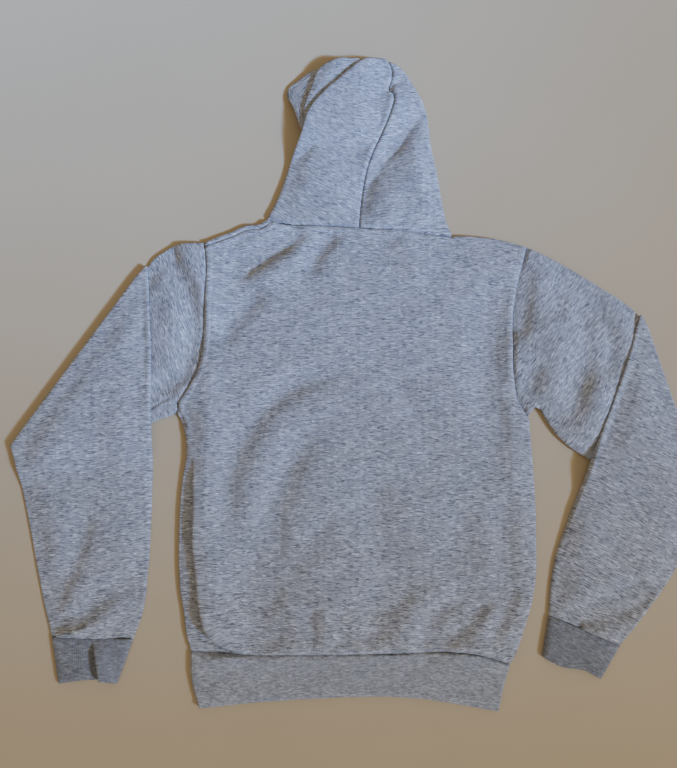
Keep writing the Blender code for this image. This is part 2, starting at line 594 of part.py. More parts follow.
def make_hem():
    """Band round the face opening: one flat strip turned double."""
    line = at_share(spline(HEM_LINE), np.linspace(0, 1, 34))
    along = np.gradient(line, axis=0)
    across = np.column_stack([-along[:, 1], along[:, 0]]) / np.linalg.norm(along, axis=1)[:, None]
    kink = 7.5 * np.exp(-(np.linalg.norm(line - HEM_CORNER, axis=1) / 11)**2)
    reach = np.array([-0.5, -0.45, 0.45, 0.5]) * HEM_WIDTH
    middle = BAND / 2
    top = np.array([middle + 0.6, BAND, BAND, middle + 0.6])
    under = np.array([middle - 0.6, 0, 0, middle - 0.6])
    section = [*zip(reach, top), *zip(reach[::-1], under)]
    rings = np.array([[(*(p + n * (r + k * (r > 0))), z) for r, z in section]
                      for p, n, k in zip(line, across, kink)])
    strip = bmesh.new()
    loops = [[strip.verts.new((np.array(q) - (*ORIGIN, 0)) * MM) for q in ring] for ring in rings]
    for a, b in zip(loops, loops[1:]):
        for k in range(len(a)):
            strip.faces.new((a[k - 1], a[k], b[k], b[k - 1]))
    strip.faces.new(loops[0])
    strip.faces.new(loops[-1][::-1])
    bmesh.ops.recalc_face_normals(strip, faces=strip.faces)
    mesh = bpy.data.meshes.new("hood_hem")
    strip.to_mesh(mesh)
    strip.free()
    mesh.materials.append(material("hood_hem", COLOURS["hem"]))
    collection.objects.link(bpy.data.objects.new("hood_hem", mesh))


for item in list(bpy.data.objects):
    bpy.data.objects.remove(item, do_unlink=True)
collection = bpy.data.collections.new("pullover_hoodie")
bpy.context.scene.collection.children.link(collection)

make_back()
make_front()
make_waistband()
for side_name in SLEEVES:
    make_sleeve(side_name)
    make_cuff(side_name)
for side_name in HOOD:
    make_hood(side_name)
make_brow()
make_hem()
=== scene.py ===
import bmesh
import bpy
import numpy as np
from mathutils import Matrix


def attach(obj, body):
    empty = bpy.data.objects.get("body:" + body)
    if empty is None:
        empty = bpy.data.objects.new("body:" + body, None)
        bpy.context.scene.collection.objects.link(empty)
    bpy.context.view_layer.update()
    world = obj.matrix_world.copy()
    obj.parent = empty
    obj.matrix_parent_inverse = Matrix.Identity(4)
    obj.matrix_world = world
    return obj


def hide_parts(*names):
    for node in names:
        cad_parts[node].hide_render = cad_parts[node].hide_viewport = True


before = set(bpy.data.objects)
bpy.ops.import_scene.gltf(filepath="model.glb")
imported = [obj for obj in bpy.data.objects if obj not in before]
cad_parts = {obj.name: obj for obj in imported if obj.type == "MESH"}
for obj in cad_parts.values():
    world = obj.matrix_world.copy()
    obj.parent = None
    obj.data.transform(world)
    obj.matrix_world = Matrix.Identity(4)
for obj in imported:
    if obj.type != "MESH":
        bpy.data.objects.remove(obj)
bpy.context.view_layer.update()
print("frame loaded")

# Every table gives plan positions and heights in millimetres, seen from above:
# x to the right, y towards the hood. planCentre is the plan point over the frame's origin.
mm = 0.001
planCentre = (-3.33, 152.88)
camera = {
    "place": (-0.02736, -0.26553, 1.0484), "down": 78.172375, "roll": 0.553575,
    "focal": 760, "tall": 768, "foot": (-30.7, -112.7), "height": 1048,
}
# thickness of each cloth, and the gap between two sewn pieces
fabric = {"fleece": 2.2, "rib": 2.6, "hem": 4.4, "seam": 0.3}
# middle heights of the walls that lie, the reach of their rolled edges, how far lofts and
# folds are scaled, and the height that sewn grooves leave clear
lie = {
    "floor": 1.1, "rest": 6.2, "deepest": -1.2, "side": 5.2, "roll": 8.0, "underRoll": 11.0,
    "loftGain": 1.6, "foldGain": 1.35, "foldWidth": 1.4, "foldShift": 0.6, "foldEnds": 0.22,
    "smallFold": 8, "clear": 3.4, "rim": 32, "rimShare": 0.35, "soft": 0.8,
}
lightSide = np.array([0.86, -0.5])  # plan direction of the lamp that shapes the folds
rimSteps = (0, 0.35, 0.9, 1.6, 2.6, 4.0, 6.0, 8.5)  # grid lines beside an edge
seamSteps = (0, 0.35, 0.9, 1.6, 2.6, 4, 5.4, 6.8, 8.2, 9.6, 11, 12.5, 14, 15.5, 17, 18.5, 20,
             22)

body = {
    "leftSide": [
        (-219, -252), (-226, -231), (-231, -203), (-236, -181), (-240, -150), (-242, -115),
        (-243, -66), (-241, -27), (-238, 0), (-238, 15), (-241, 34), (-247, 52), (-255, 64)],
    "leftArmhole": [
        (-255, 64), (-253, 77), (-243, 94), (-229, 123), (-223, 166), (-222, 229), (-223, 278),
        (-228, 313)],
    "rightSide": [
        (195, -265), (206, -246), (216, -219), (222, -203), (229, -179), (234, -150),
        (236, -106), (237, -53), (236, -12), (235, 20), (234, 42), (233, 62)],
    "rightArmhole": [
        (233, 62), (226, 74), (220, 88), (217, 106), (215, 128), (216, 165), (219, 212),
        (226, 251), (234, 281), (242, 311)],
    "waist": [
        (-219, -252), (-192, -253), (-155, -256), (-77, -256), (52, -253), (115, -251),
        (150, -253), (195, -265)],
    "leftShoulder": [
        (-228, 313), (-210, 322), (-190, 330), (-167, 341), (-148, 343), (-137, 351)],
    "neck": [
        (-137, 351), (-122, 346), (-100, 343), (-60, 341), (-3, 338), (56, 335), (110, 329),
        (133, 327)],
    "rightShoulder": [(133, 327), (160, 327), (201, 322), (221, 317), (242, 311)],
    "frontNeck": [
        (-137, 351), (-105, 300), (-70, 280), (-29, 272), (29, 272), (70, 280), (103, 296),
        (133, 327)],
    "sideRows": 84, "armholeRows": 60, "columns": 132,
}
# The back rolls over itself along this line, overhangs the strip left of it, which lies
# lower, and tucks it in underneath.
rolled = {
    "line": [
        (-146, -258), (-158, -254), (-174, -246), (-196, -229), (-206, -203), (-213, -160),
        (-220, -114), (-222, -56), (-228, -10), (-238, 18)],
    "height": 5.2, "slope": 0.28, "top": 10, "foot": 69, "least": 14.0, "overhang": 5.5,
    "drop": (4.5, -2.5), "fade": 45, "across": (-120, -150), "lowEnd": (-262, -254),
    "climb": (-236, -190), "climbReach": 24, "footWidens": (-244, -251),
    "hang": (3.2, 2.6), "tuck": (-1.2, 2.4), "tuckShare": 0.8, "hangFade": 50,
}
waistband = {
    "left": [(-219, -252), (-216, -288), (-205, -322)],
    "right": [(195, -265), (187, -288), (178, -322)],
    "hem": [(-205, -322), (-140, -315), (-76, -310), (91, -309), (138, -316), (178, -322)],
    "ribs": 165, "ribHeight": 0.1, "width": 430, "hemThick": 3.0, "hemOpen": 0.35,
    "hemReach": 7,
}
# forearm: its direction, towards the cuff; turn: the side of its edges that is inside
sleeves = {
    "left": {
        "shoulderEdge": [
            (-228, 313), (-248, 313), (-264, 311), (-286, 298), (-301, 287), (-309, 275)],
        "underarmEdge": [
            (-255, 64), (-264, 59), (-277, 55), (-290, 49), (-380, 33), (-478, 11)],
        "innerEdge": [
            (-309, 275), (-306, 250), (-302, 212), (-296, 160), (-291, 60), (-287, 10),
            (-284, -70), (-284, -150), (-288, -205), (-298, -238)],
        "outerEdge": [
            (-478, 11), (-462, -38), (-447, -88), (-432, -142), (-417, -194), (-403, -236)],
        "cuffEnd": [(-389, -294), (-372, -291), (-342, -289), (-315, -293)],
        "forearm": (0.093, -0.996), "turn": -1,
    },
    "right": {
        "shoulderEdge": [
            (242, 311), (265, 300), (310, 273), (354, 244), (380, 226), (399, 209)],
        "underarmEdge": [
            (233, 62), (238, 72), (245, 77), (252, 73), (261, 55), (272, 38), (288, 22),
            (316, 4), (400, -32), (470, -64)],
        "innerEdge": [
            (399, 209), (377, 146), (350, 82), (320, 11), (306, -26), (282, -82), (263, -131),
            (254, -176), (251, -204)],
        "outerEdge": [(470, -64), (446, -102), (411, -158), (377, -199), (341, -240)],
        "cuffEnd": [(313, -282), (297, -273), (257, -265), (240, -255)],
        "forearm": (-0.41, -0.912), "turn": 1,
    },
}
sleeveGrid = {"across": 66, "upperRows": 48, "foreRows": 84}
elbow = {"radius": 3.0, "half": 1.7, "thin": 1.25, "turns": 13, "flat": 34, "roll": 3.6}
# The forearm lies on the upper arm and presses it down by a share from its edge inwards;
# it is held up as far as the underarm edge, and thickens from its rims and its fold.
forearm = {
    "press": 0.75, "pressEdge": (-5, 10), "held": (-60, -3), "bulb": 22, "puff": 7.0,
    "puffReach": 42, "foldReach": 50, "rim": 2.5, "rimReach": (2, 30), "least": -0.4,
    "bend": 0.6, "edgeHalf": 0.9, "edgeReach": 30, "wristWidth": 92, "pucker": 0.5,
    "puckerReach": 9, "hemRidge": (0.6, 5, 3.6), "seamDip": (1.5, 2),
}
cuff = {
    "rows": 26, "ribs": 36, "ribHeight": 0.1, "width": 90, "height": 56, "thick": 5.2,
    "swell": 2.0, "hemThins": 0.3, "pleat": 5.2, "flap": 8.4, "pleatPlace": (44, 64),
    "pleatOpens": (3, 17), "pleatSteep": 1.2, "flapRises": (0.2, 2.2), "flapFalls": (4, 30),
    "pucker": 0.35, "puckerReach": 8, "seamDip": 1.4, "dipReach": 2.2,
}
hoodSeam = [
    (-3, 338), (0, 377), (6, 420), (18, 461), (33, 497), (46, 531), (49, 552), (42, 565),
    (46, 584), (46, 601), (40, 616)]
# courses: how far those of each half lean and bow, as it was cut aslant
hood = {
    "left": {
        "courses": (0.18, -0.0017),
        "outline": [
            (-137, 351), (-125, 377), (-113, 411), (-102, 452), (-88, 498), (-80, 528),
            (-56, 562), (-34, 585)],
        "crown": [(-34, 585), (-14, 605), (5, 619), (24, 620), (40, 616)],
        "inner": [
            (-31, 273), (-31, 330), (-36, 370), (-52, 400), (-72, 425), (-82, 447), (-83, 468),
            (-78, 498), (-68, 522), (-45, 548), (-24, 570)],
    },
    "right": {
        "courses": (-0.07, 0),
        "outline": [
            (133, 327), (125, 346), (119, 376), (112, 423), (102, 480), (98, 521), (92, 546)],
        "crown": [(92, 546), (78, 573), (60, 602), (40, 616)],
        "inner": [(31, 273), (31, 340), (31, 420), (32, 500), (35, 590)],
    },
}
hoodGrid = {"rows": 92, "across": 44, "under": 22, "width": 130, "bowFrom": 20}
# how the hood rises towards its crown, from this place on and over these stretches
hoodRise = {
    "place": (-61, 541), "start": 58, "reach": 40, "crown": 14.6, "crownAlong": (430, 520),
    "flap": 5.6, "flapAlong": (420, 494), "across": (74, -14), "edgeDips": 1.6,
    "edgeReach": (4, 22),
}
# the band runs round the face opening along this line, and kinks out at one corner
hem = {
    "line": [
        (-15, 274), (-15, 330), (-16, 384), (-26, 430), (-44, 462), (-64, 485), (-79, 508),
        (-88, 534), (-93, 556), (-83, 574), (-63, 588), (-34, 587), (-8, 566), (8, 530),
        (14, 480), (15, 400), (15, 330), (15, 274)],
    "width": 27, "corner": (-93, 559), "kink": 7.5, "rows": 190,
    "kinkReach": 11, "sides": 24, "wall": 1.0, "clear": 0.05, "roundness": (0.45, 0.6),
}
brow = {
    "outer": [
        (-87, 511), (-86, 537), (-77, 566), (-64, 601), (-50, 612), (-34, 618), (-6, 619)],
    "hidden": [(-66, 509), (-58, 527), (-42, 549), (-22, 571), (-5, 590), (16, 606)],
    "rows": 50, "across": 20, "clear": 0.1, "sink": 2.6, "sinkRows": (0.82, 0.97),
    "sinkAcross": 0.3,
}

# name: middle x and y, reach in x and y, height
lofts = {
    "body": (0, 40, 270, 230, 5.8),
    "above the waistband": (-10, -222, 250, 26, 5.2),
    "beside the rolled edge": (-198, -120, 22, 130, 3.0),
    "left rim": (-228, 10, 22, 60, 2.5),
    "right rim": (222, -80, 26, 150, 3.0),
    "shoulder blades": (-10, 236, 200, 90, 3.6),
    "left sleeve head": (-254, 215, 40, 96, 6.4),
    "right sleeve head": (308, 166, 66, 92, 8.6),
    "right underarm": (300, 60, 50, 50, 4.0),
    "right gathers": (165, -205, 50, 50, 3.6),
    "hood": (-10, 450, 110, 110, 4.2),
    "hood left": (-60, 470, 45, 110, 4.0),
    "hood crown": (30, 560, 56, 50, 6.0),
    "hood right rim": (98, 450, 30, 90, 2.0),
}
# name: reach away from the lamp and towards it, height (a trough is negative), then the
# line itself, which marks a trough's flank in the shade
folds = {
    "rolled edge crest": (7, 32, 5.9, [
        (-110, -262), (-150, -257), (-186, -238), (-198, -208), (-205, -162), (-213, -115),
        (-215, -52), (-221, 0)]),
    "left shoulder trough": (13, 10, -7.4, [
        (-70, 338), (-84, 327), (-102, 311), (-133, 291), (-159, 271), (-184, 250)]),
    "left shoulder ridge": (12, 14, 4.0, [(-76, 300), (-120, 270), (-160, 240)]),
    "left collarbone trough": (12, 10, -2.6, [
        (-177, 318), (-174, 290), (-173, 262), (-176, 220)]),
    "second shoulder trough": (14, 12, -4.6, [
        (-122, 254), (-138, 232), (-153, 212), (-171, 189), (-200, 144)]),
    "neck trough": (12, 9, -5.6, [(-26, 332), (-34, 322), (-48, 304), (-60, 285), (-68, 254)]),
    "neck ridge": (14, 14, 3.0, [(50, 325), (72, 290), (92, 248)]),
    "right upright trough": (20, 14, -6.4, [
        (222, 268), (207, 224), (192, 160), (190, 84), (202, 27), (214, -20)]),
    "outer arch": (15, 11, -4.6, [
        (13, 99), (-24, 107), (-61, 106), (-112, 75), (-147, 30), (-167, -13), (-176, -77),
        (-178, -119), (-174, -150)]),
    "arch, right leg": (10, 9, -2.4, [(2, 166), (13, 152), (57, 99), (93, 40), (124, -10)]),
    "between the arches": (15, 15, 2.2, [
        (-145, -120), (-136, -20), (-108, 34), (-66, 64), (-20, 78)]),
    "inner arch": (19, 15, -6.2, [
        (-14, 34), (-58, 22), (-88, -20), (-104, -77), (-111, -132), (-118, -180), (-122, -222),
        (-112, -285)]),
    "thin arch": (9, 9, -1.8, [(-26, -76), (-37, -90), (-61, -118), (-85, -159), (-92, -180)]),
    "left upright ridge": (10, 15, 3.2, [(-212, 150), (-208, 60), (-206, 0)]),
    "low swell": (24, 24, 2.6, [(-60, -120), (-20, -160), (60, -170)]),
    "low trough, middle": (20, 17, -3.6, [(34, -10), (35, -98), (54, -176)]),
    "low trough, right": (18, 15, -3.6, [(154, -60), (147, -149), (172, -198)]),
    "right rim trough": (15, 11, -3.6, [(214, -30), (208, -100), (205, -210)]),
    "gather 1": (14, 12, -4.6, [(-74, -214), (-96, -232), (-134, -243), (-160, -248)]),
    "gather 2": (11, 8, -5.0, [(-64, -196), (-58, -222), (-55, -250)]),
    "gather 3": (24, 17, -7.6, [(66, -146), (60, -168), (50, -194), (36, -218), (36, -254)]),
    "gather 4": (16, 10, -8.4, [
        (186, -160), (177, -180), (162, -204), (137, -227), (94, -249), (74, -262)]),
    "beside gather 4": (11, 8, -5.2, [(158, -168), (146, -182), (117, -200), (78, -232)]),
    "gather 5": (11, 8, -6.4, [(208, -160), (203, -180), (193, -212), (172, -250)]),
    "gather 6": (10, 9, -3.6, [(-22, -200), (-12, -252)]),
    "left sleeve head trough": (15, 12, -8.0, [
        (-306, 344), (-292, 322), (-282, 305), (-270, 285), (-253, 260), (-240, 235),
        (-231, 206), (-228, 172), (-234, 120)]),
    "left sleeve head ridge": (13, 15, 4.0, [
        (-280, 340), (-264, 306), (-246, 276), (-229, 248), (-219, 214), (-216, 160)]),
    "left armpit trough": (13, 10, -6.0, [
        (-226, 176), (-229, 158), (-235, 132), (-247, 106), (-266, 95), (-292, 93)]),
    "right sleeve head trough": (10, 9, -6.4, [
        (242, 292), (241, 266), (240, 235), (235, 205), (227, 158)]),
    "right sleeve trough": (18, 14, -8.6, [
        (316, 244), (325, 200), (329, 153), (320, 119), (309, 85), (288, 24)]),
    "right sleeve top trough": (15, 11, -9.0, [
        (270, 274), (290, 264), (306, 254), (326, 240), (342, 216), (355, 186), (357, 156),
        (340, 86)]),
    "right sleeve top, inner": (15, 11, -4.0, [(306, 252), (298, 234), (288, 212), (278, 192)]),
    "right sleeve ridge": (13, 12, 4.2, [
        (334, 228), (339, 204), (341, 176), (340, 145), (332, 104), (316, 52)]),
    "right armpit trough": (14, 12, -6.4, [(220, 68), (234, 88), (246, 108), (262, 138)]),
    "hood crease": (12, 8, -4.4, [
        (100, 532), (88, 514), (68, 482), (46, 452), (28, 424), (15, 400), (8, 364), (4, 330)]),
    "hood ridge": (12, 12, 3.0, [(66, 566), (44, 508), (20, 450), (8, 400)]),
    "hood left trough": (14, 11, -3.8, [(-26, 560), (-44, 520), (-44, 470)]),
    "hood crown trough": (9, 9, -4.0, [(-33, 578), (-8, 592), (18, 603)]),
    "hood pinch": (7, 7, -5.4, [(52, 570), (41, 563), (16, 572)]),
    "hood pinch, right": (6, 6, -4.0, [(36, 560), (54, 574), (72, 582)]),
}
foreFolds = {
    "left": {
        "inner edge ridge": (9, 12, 1.7, [(-297, 200), (-294, -20), (-293, -160)]),
        "long trough": (22, 22, -1.6, [(-330, 180), (-345, 40), (-340, -90)]),
        "forearm trough": (13, 10, -4.8, [
            (-362, -66), (-366, -112), (-373, -145), (-386, -174), (-402, -212)]),
        "wrist trough": (13, 10, -5.4, [
            (-286, -162), (-310, -176), (-332, -189), (-348, -202), (-355, -236)]),
        "wrist pleat": (6, 4, -2.6, [(-396, -219), (-386, -216), (-372, -212), (-358, -209)]),
        "flap over the cuff": (5, 4, 3.8, [
            (-402, -236), (-386, -233), (-368, -230), (-346, -220)]),
        "wrist crease": (8, 5, -4.0, [(-340, -236), (-320, -232), (-296, -234)]),
    },
    "right": {
        "inner edge ridge": (12, 14, 3.2, [(330, 60), (300, -70), (276, -150)]),
        "wrist trough": (15, 11, -8.0, [
            (398, -164), (368, -182), (348, -194), (326, -204), (306, -213), (270, -224)]),
        "cuff notch": (5, 4, -6.4, [(274, -196), (279, -206), (287, -217), (296, -222)]),
        "cuff edge": (11, 4, 4.4, [(282, -212), (306, -220), (324, -227), (344, -238)]),
        "outer wrist": (13, 8.5, 4.0, [(414, -170), (392, -194), (366, -214), (338, -232)]),
    },
}
# the lower right of the hood steps up beyond the valley of its main crease
hoodStep = {
    "line": [
        (104, 540), (88, 516), (66, 482), (44, 452), (26, 424), (13, 402), (6, 364), (3, 330)],
    "start": -6, "reach": 44, "rise": 8.5, "end": 0.2, "neck": (328, 372),
}
shoulderLine = [(-227, 306), (-208, 315), (-188, 323), (-166, 334), (-148, 336), (-130, 346)]
# Sewn lines that show: the line, its groove's depth and width, then the ridge of the
# turned-in allowance, its distance from the seam and its side, as nearest() gives it.
seams = {
    "neck": (body["neck"], 6.0, 2.0, 0.8, 5.5, -1),
    "left armhole": (body["leftArmhole"], 4.2, 2.0, 0.9, 5.5, -1),
    "right armhole": (body["rightArmhole"], 5.2, 2.3, 0.9, 5.5, 1),
    "waist": (body["waist"], 3.4, 1.8, 0.7, 5.0, 1),
    "hood centre": (hoodSeam, 5.0, 1.8, 0.8, 4.5, 1),
    "left shoulder": (shoulderLine, 3.0, 1.6, 1.0, 4.0, -1),
    "left side seam": ([(-241, 44), (-249, 60), (-256, 80)], 2.0, 1.7, 0.6, 3.5, -1),
    "left underarm seam": ([(-262, 84), (-276, 77), (-292, 66)], 2.4, 1.7, 0.8, 3.5, 1),
}
# The body puffs out over the waistband: where along x, how much deeper its groove is, then
# the swell above it and the one below, each as height, distance from the seam and reach.
waistPuff = {"runs": ((8, 18), (66, 72), (84, 92)), "deeper": 3.0, "above": (1.5, 7, 5),
             "below": (1.1, 2.6, 1.2)}


def runs(curve):
    # each point's distance along the curve
    return np.concatenate([[0.0], np.cumsum(np.linalg.norm(np.diff(curve, axis=0), axis=1))])


def spline(points, spacing=3.0):
    # a smooth curve through the points, as closely spaced points
    p = np.array(points, float)
    knots = runs(p)
    slope = (np.gradient(p, knots, axis=0) if len(p) > 2
             else np.array([p[1] - p[0]] * 2) / knots[-1])
    t = np.linspace(0, knots[-1], max(3, int(knots[-1] / spacing)))
    i = np.clip(np.searchsorted(knots, t, "right") - 1, 0, len(p) - 2)
    h = (knots[i + 1] - knots[i])[:, None]
    s = (t - knots[i])[:, None] / h
    return ((2 * s**3 - 3 * s**2 + 1) * p[i] + (s**3 - 2 * s**2 + s) * h * slope[i]
            + (3 * s**2 - 2 * s**3) * p[i + 1] + (s**3 - s**2) * h * slope[i + 1])


def at(curve, distance):
    run = runs(curve)
    return np.stack([np.interp(distance, run, curve[:, k]) for k in (0, 1)], axis=-1)


def atShare(curve, share):
    return at(curve, np.asarray(share) * runs(curve)[-1])


def nearest(points, curve):
    # distance to the curve, share of its length there, and the side: + is left of it
    a, step = curve[:-1], np.diff(curve, axis=0)
    found = []
    for part in np.array_split(points, max(1, len(points) // 6000)):
        away = part[:, None] - a
        t = np.clip((away * step).sum(-1) / (step**2).sum(-1), 0, 1)
        off = away - t[..., None] * step
        gap = np.linalg.norm(off, axis=-1)
        k = gap.argmin(axis=1)
        row = np.arange(len(part))
        side = step[k, 0] * off[row, k, 1] - step[k, 1] * off[row, k, 0]
        found.append((gap[row, k], (k + t[row, k]) / len(a), np.sign(side)))
    return [np.concatenate(column) for column in zip(*found)]


def smooth(x, low, high):
    t = np.clip((np.asarray(x, float) - low) / (high - low), 0, 1)
    return t * t * (3 - 2 * t)


def bump(x, middle, reach):
    return np.exp(-((x - middle) / reach)**2)


def unit(rows):
    return rows / np.linalg.norm(rows, axis=-1, keepdims=True)


def leftOf(way):
    return np.stack([-way[..., 1], way[..., 0]], axis=-1)


def rounded(distance, reach):
    # 0 at a rolled edge, 1 from the given reach inwards, as a quarter ellipse
    return np.sqrt(1 - (1 - np.clip(distance / reach, 0, 1))**2)


def graded(length, count, rim=rimSteps):
    # distances along a piece, close together at both of its ends
    rim = np.array(rim, float)
    inner = np.linspace(rim[-1], length - rim[-1], count)[1:-1]
    return np.concatenate([rim, inner, length - rim[::-1]])


def within(points, curve, reach):
    return ((points > curve.min(0) - reach) & (points < curve.max(0) + reach)).all(axis=1)


outlines = [spline(c) for c in (
    body["leftSide"], body["rightSide"], body["leftShoulder"], body["rightShoulder"],
    waistband["left"], waistband["right"],
    *(sleeves[s][e] for s in sleeves for e in ("shoulderEdge", "underarmEdge")),
    *(hood[s][e] for s in hood for e in ("outline", "crown")))]


def toOutline(points, reach=14):
    closest = np.full(len(points), 99.0)
    for curve in outlines:
        near = within(points, curve, reach)
        if near.any():
            closest[near] = np.minimum(closest[near], nearest(points[near], curve)[0])
    return closest


def relief(points, table):
    # Soft troughs and ridges that fade out at their ends. A trough's line marks its flank
    # in the shade, so its bottom lies further from the lamp.
    total = np.zeros(len(points))
    for away, toward, height, line in table.values():
        if away > lie["smallFold"]:
            away, toward = away * lie["foldWidth"], toward * lie["foldWidth"]
        curve = spline(line)
        moved = points + lie["foldShift"] * toward * (height < 0) * lightSide
        near = within(moved, curve, 2.5 * max(away, toward))
        if near.any():
            gap, share, _ = nearest(moved[near], curve)
            step, index = share * (len(curve) - 1), np.arange(len(curve))
            spot = np.stack([np.interp(step, index, curve[:, k]) for k in (0, 1)], axis=-1)
            facing = ((moved[near] - spot) @ lightSide) / (gap + 0.5)
            reach = away + (toward - away) * (0.5 + 0.5 * np.clip(facing, -1, 1))
            ends = smooth(share, 0, lie["foldEnds"]) * smooth(1 - share, 0, lie["foldEnds"])
            total[near] += height * bump(gap, 0, reach) * ends
    return total


def loftHeight(points):
    return sum(height * np.exp(-((points[:, 0] - x) / reachX)**2
                               - ((points[:, 1] - y) / reachY)**2)
               for x, y, reachX, reachY, height in lofts.values())


def rumple(points):
    # slight unevenness of cloth that nobody has ironed: height, length, direction, phase
    x, y = points[:, 0], points[:, 1]
    waves = ((0.34, 83, 0.6, 1.0), (0.28, 57, 2.1, 4.0), (0.22, 41, 3.7, 2.2),
             (0.16, 29, 5.2, 0.4), (0.11, 19, 1.3, 5.1))
    return sum(height * np.sin(2 * np.pi * (x * np.cos(turn) + y * np.sin(turn)) / length
                               + phase + 1.3 * np.sin(y / 47 + phase) + np.sin(x / 61))
               for height, length, turn, phase in waves)


def sewing(points):
    # grooves at the sewn lines, with the allowance raised beside them
    total = np.zeros(len(points))
    for name, (line, dip, width, ridge, off, onSide) in seams.items():
        curve = spline(line)
        near = within(points, curve, 16)
        if near.any():
            gap, _, side = nearest(points[near], curve)
            beside = (side * onSide * gap - off) / 3.6
            if name == "waist":
                start, stop, again = (smooth(points[near, 0], *run) for run in waistPuff["runs"])
                puffed = start * (1 - stop) + again
                dip = dip + waistPuff["deeper"] * puffed
                for key, half in (("above", side > 0), ("below", side < 0)):
                    height, middle, reach = waistPuff[key]
                    total[near] += puffed * half * height * bump(gap, middle, reach)
            total[near] += ridge * np.exp(-beside**4) - dip * bump(gap, 0, width)
    return total


def gathers(points):
    # small puckers where the body is eased onto the tighter waistband
    gap, _, side = nearest(points, spline(body["waist"]))
    x = points[:, 0]
    wave = (np.sin(x / 2.3 + 1.4 * np.sin(x / 17)) + 0.8 * np.sin(x / 4.1 + 2)
            + 0.9 * np.sin(x / 6.3 + np.sin(x / 29)))
    return np.where(side > 0, 0.34 * wave * np.exp(-gap / 13) * smooth(gap, 0, 3), 0)


def foldLine(name):
    return np.array([sleeves[name]["underarmEdge"][-1], sleeves[name]["shoulderEdge"][-1]],
                    float)


def inside(points, name, edge):
    # distance inwards from an edge of a sleeve, negative beyond it
    gap, _, side = nearest(points, spline(sleeves[name][edge]))
    return side * gap * sleeves[name]["turn"]


def elbowFade(points):
    # 0 on the elbow folds, 1 further away, so that the sleeve is pressed flat there
    fade = np.ones(len(points))
    for name in sleeves:
        line = foldLine(name)
        near = within(points, line, elbow["flat"])
        if near.any():
            fade[near] = smooth(nearest(points[near], line)[0], 0, elbow["flat"])
    return fade


def pressed(points):
    # 1 where the upper arm is free, little where the forearm lies on it
    return np.minimum(*(
        1 - forearm["press"] * smooth(inside(points, name, "innerEdge"), *forearm["pressEdge"])
        for name in sleeves))


def stepped(points):
    gap, share, side = nearest(points, spline(hoodStep["line"]))
    rise = hoodStep["rise"] * smooth(gap, hoodStep["start"], hoodStep["reach"]) * (side > 0)
    return rise * smooth(share, 0, hoodStep["end"]) * smooth(points[:, 1], *hoodStep["neck"])


def fullHeight(points):
    # middle of the upper wall, before its edges are rolled down
    x, y = points[:, 0], points[:, 1]
    fromRim = toOutline(points, lie["rim"])
    inner = lie["rimShare"] + (1 - lie["rimShare"]) * smooth(fromRim, 2, lie["rim"])
    raised = (lie["loftGain"] * inner * loftHeight(points)
              + lie["foldGain"] * relief(points, folds) + rumple(points)
              + inner * stepped(points))
    soft, least = lie["soft"], lie["deepest"]
    raised = least + soft * np.logaddexp(0, (raised - least) / soft)
    folded = lie["floor"] + 2 * elbow["half"]
    height = folded + (lie["rest"] - folded + raised * pressed(points)) * elbowFade(points)
    # the strip beside the rolled edge climbs to it, and lies low at its lower end
    gap, _, side = nearest(points, spline(rolled["line"]))
    strip = (smooth(-side * gap, *rolled["drop"]) * smooth(x, *rolled["across"])
             * smooth(y, rolled["top"], rolled["top"] - rolled["fade"])
             * smooth(y, *rolled["lowEnd"]))
    climb = rolled["slope"] * smooth(y, *rolled["climb"])
    sloping = rolled["height"] + climb * np.minimum(fromRim, rolled["climbReach"])
    return height + (sloping - height) * strip


def edgeHeight(points):
    low = lie["floor"] + elbow["half"]
    return lie["side"] - (lie["side"] - low) * (1 - elbowFade(points))


def upper(points):
    edge = edgeHeight(points)
    return edge + (fullHeight(points) - edge) * rounded(toOutline(points), lie["roll"])


def sewn(points, high):
    # the upper wall with its sewn lines, which don't press it into the wall below
    return np.maximum(high + sewing(points), np.minimum(high, lie["clear"]))


def surface(points):
    return sewn(points, upper(points))


def lower(points, lift=0.0):
    edge = edgeHeight(points)
    return lift + edge + (lie["floor"] - edge) * rounded(toOutline(points), lie["underRoll"])


def patch(left, right, bottom, top, share):
    # plan points between four edges: rows run left to right, share is each column's place
    rows = len(left)
    run = (runs(left) / runs(left)[-1] + runs(right) / runs(right)[-1]) / 2
    v = run[:, None, None]
    u = np.broadcast_to(share, (rows, np.shape(share)[-1]))[..., None]
    straight = (1 - u) * left[:, None] + u * right[:, None]
    low = atShare(bottom, u[..., 0]) - ((1 - u) * bottom[0] + u * bottom[-1])
    high = atShare(top, u[..., 0]) - ((1 - u) * top[0] + u * top[-1])
    return straight + (1 - v) * low + v * high


def stacked(plan, flat, height):
    return np.column_stack([flat, np.reshape(height, -1)]).reshape(*plan.shape[:-1], 3)


def lifted(plan, height):
    flat = plan.reshape(-1, 2)
    return stacked(plan, flat, height(flat))


def hexColour(text):
    # sRGB hex to the linear colour that a shader takes
    values = [int(text[k:k + 2], 16) / 255 for k in (1, 3, 5)]
    return (*(v / 12.92 if v <= 0.04045 else ((v + 0.055) / 1.055)**2.4 for v in values), 1)


def fill(tree, socket, value):
    # a socket takes a number, a hex colour, or the socket that feeds it
    if isinstance(value, bpy.types.NodeSocket):
        tree.links.new(value, socket)
    else:
        socket.default_value = hexColour(value) if isinstance(value, str) else value


def addNode(tree, kind, settings=None, **inputs):
    node = tree.nodes.new("ShaderNode" + kind)
    for name, value in (settings or {}).items():
        setattr(node, name, value)
    for name, value in inputs.items():
        key = int(name[1:]) if name[1:].isdigit() else name.replace("_", " ")
        fill(tree, node.inputs[key], value)
    return node


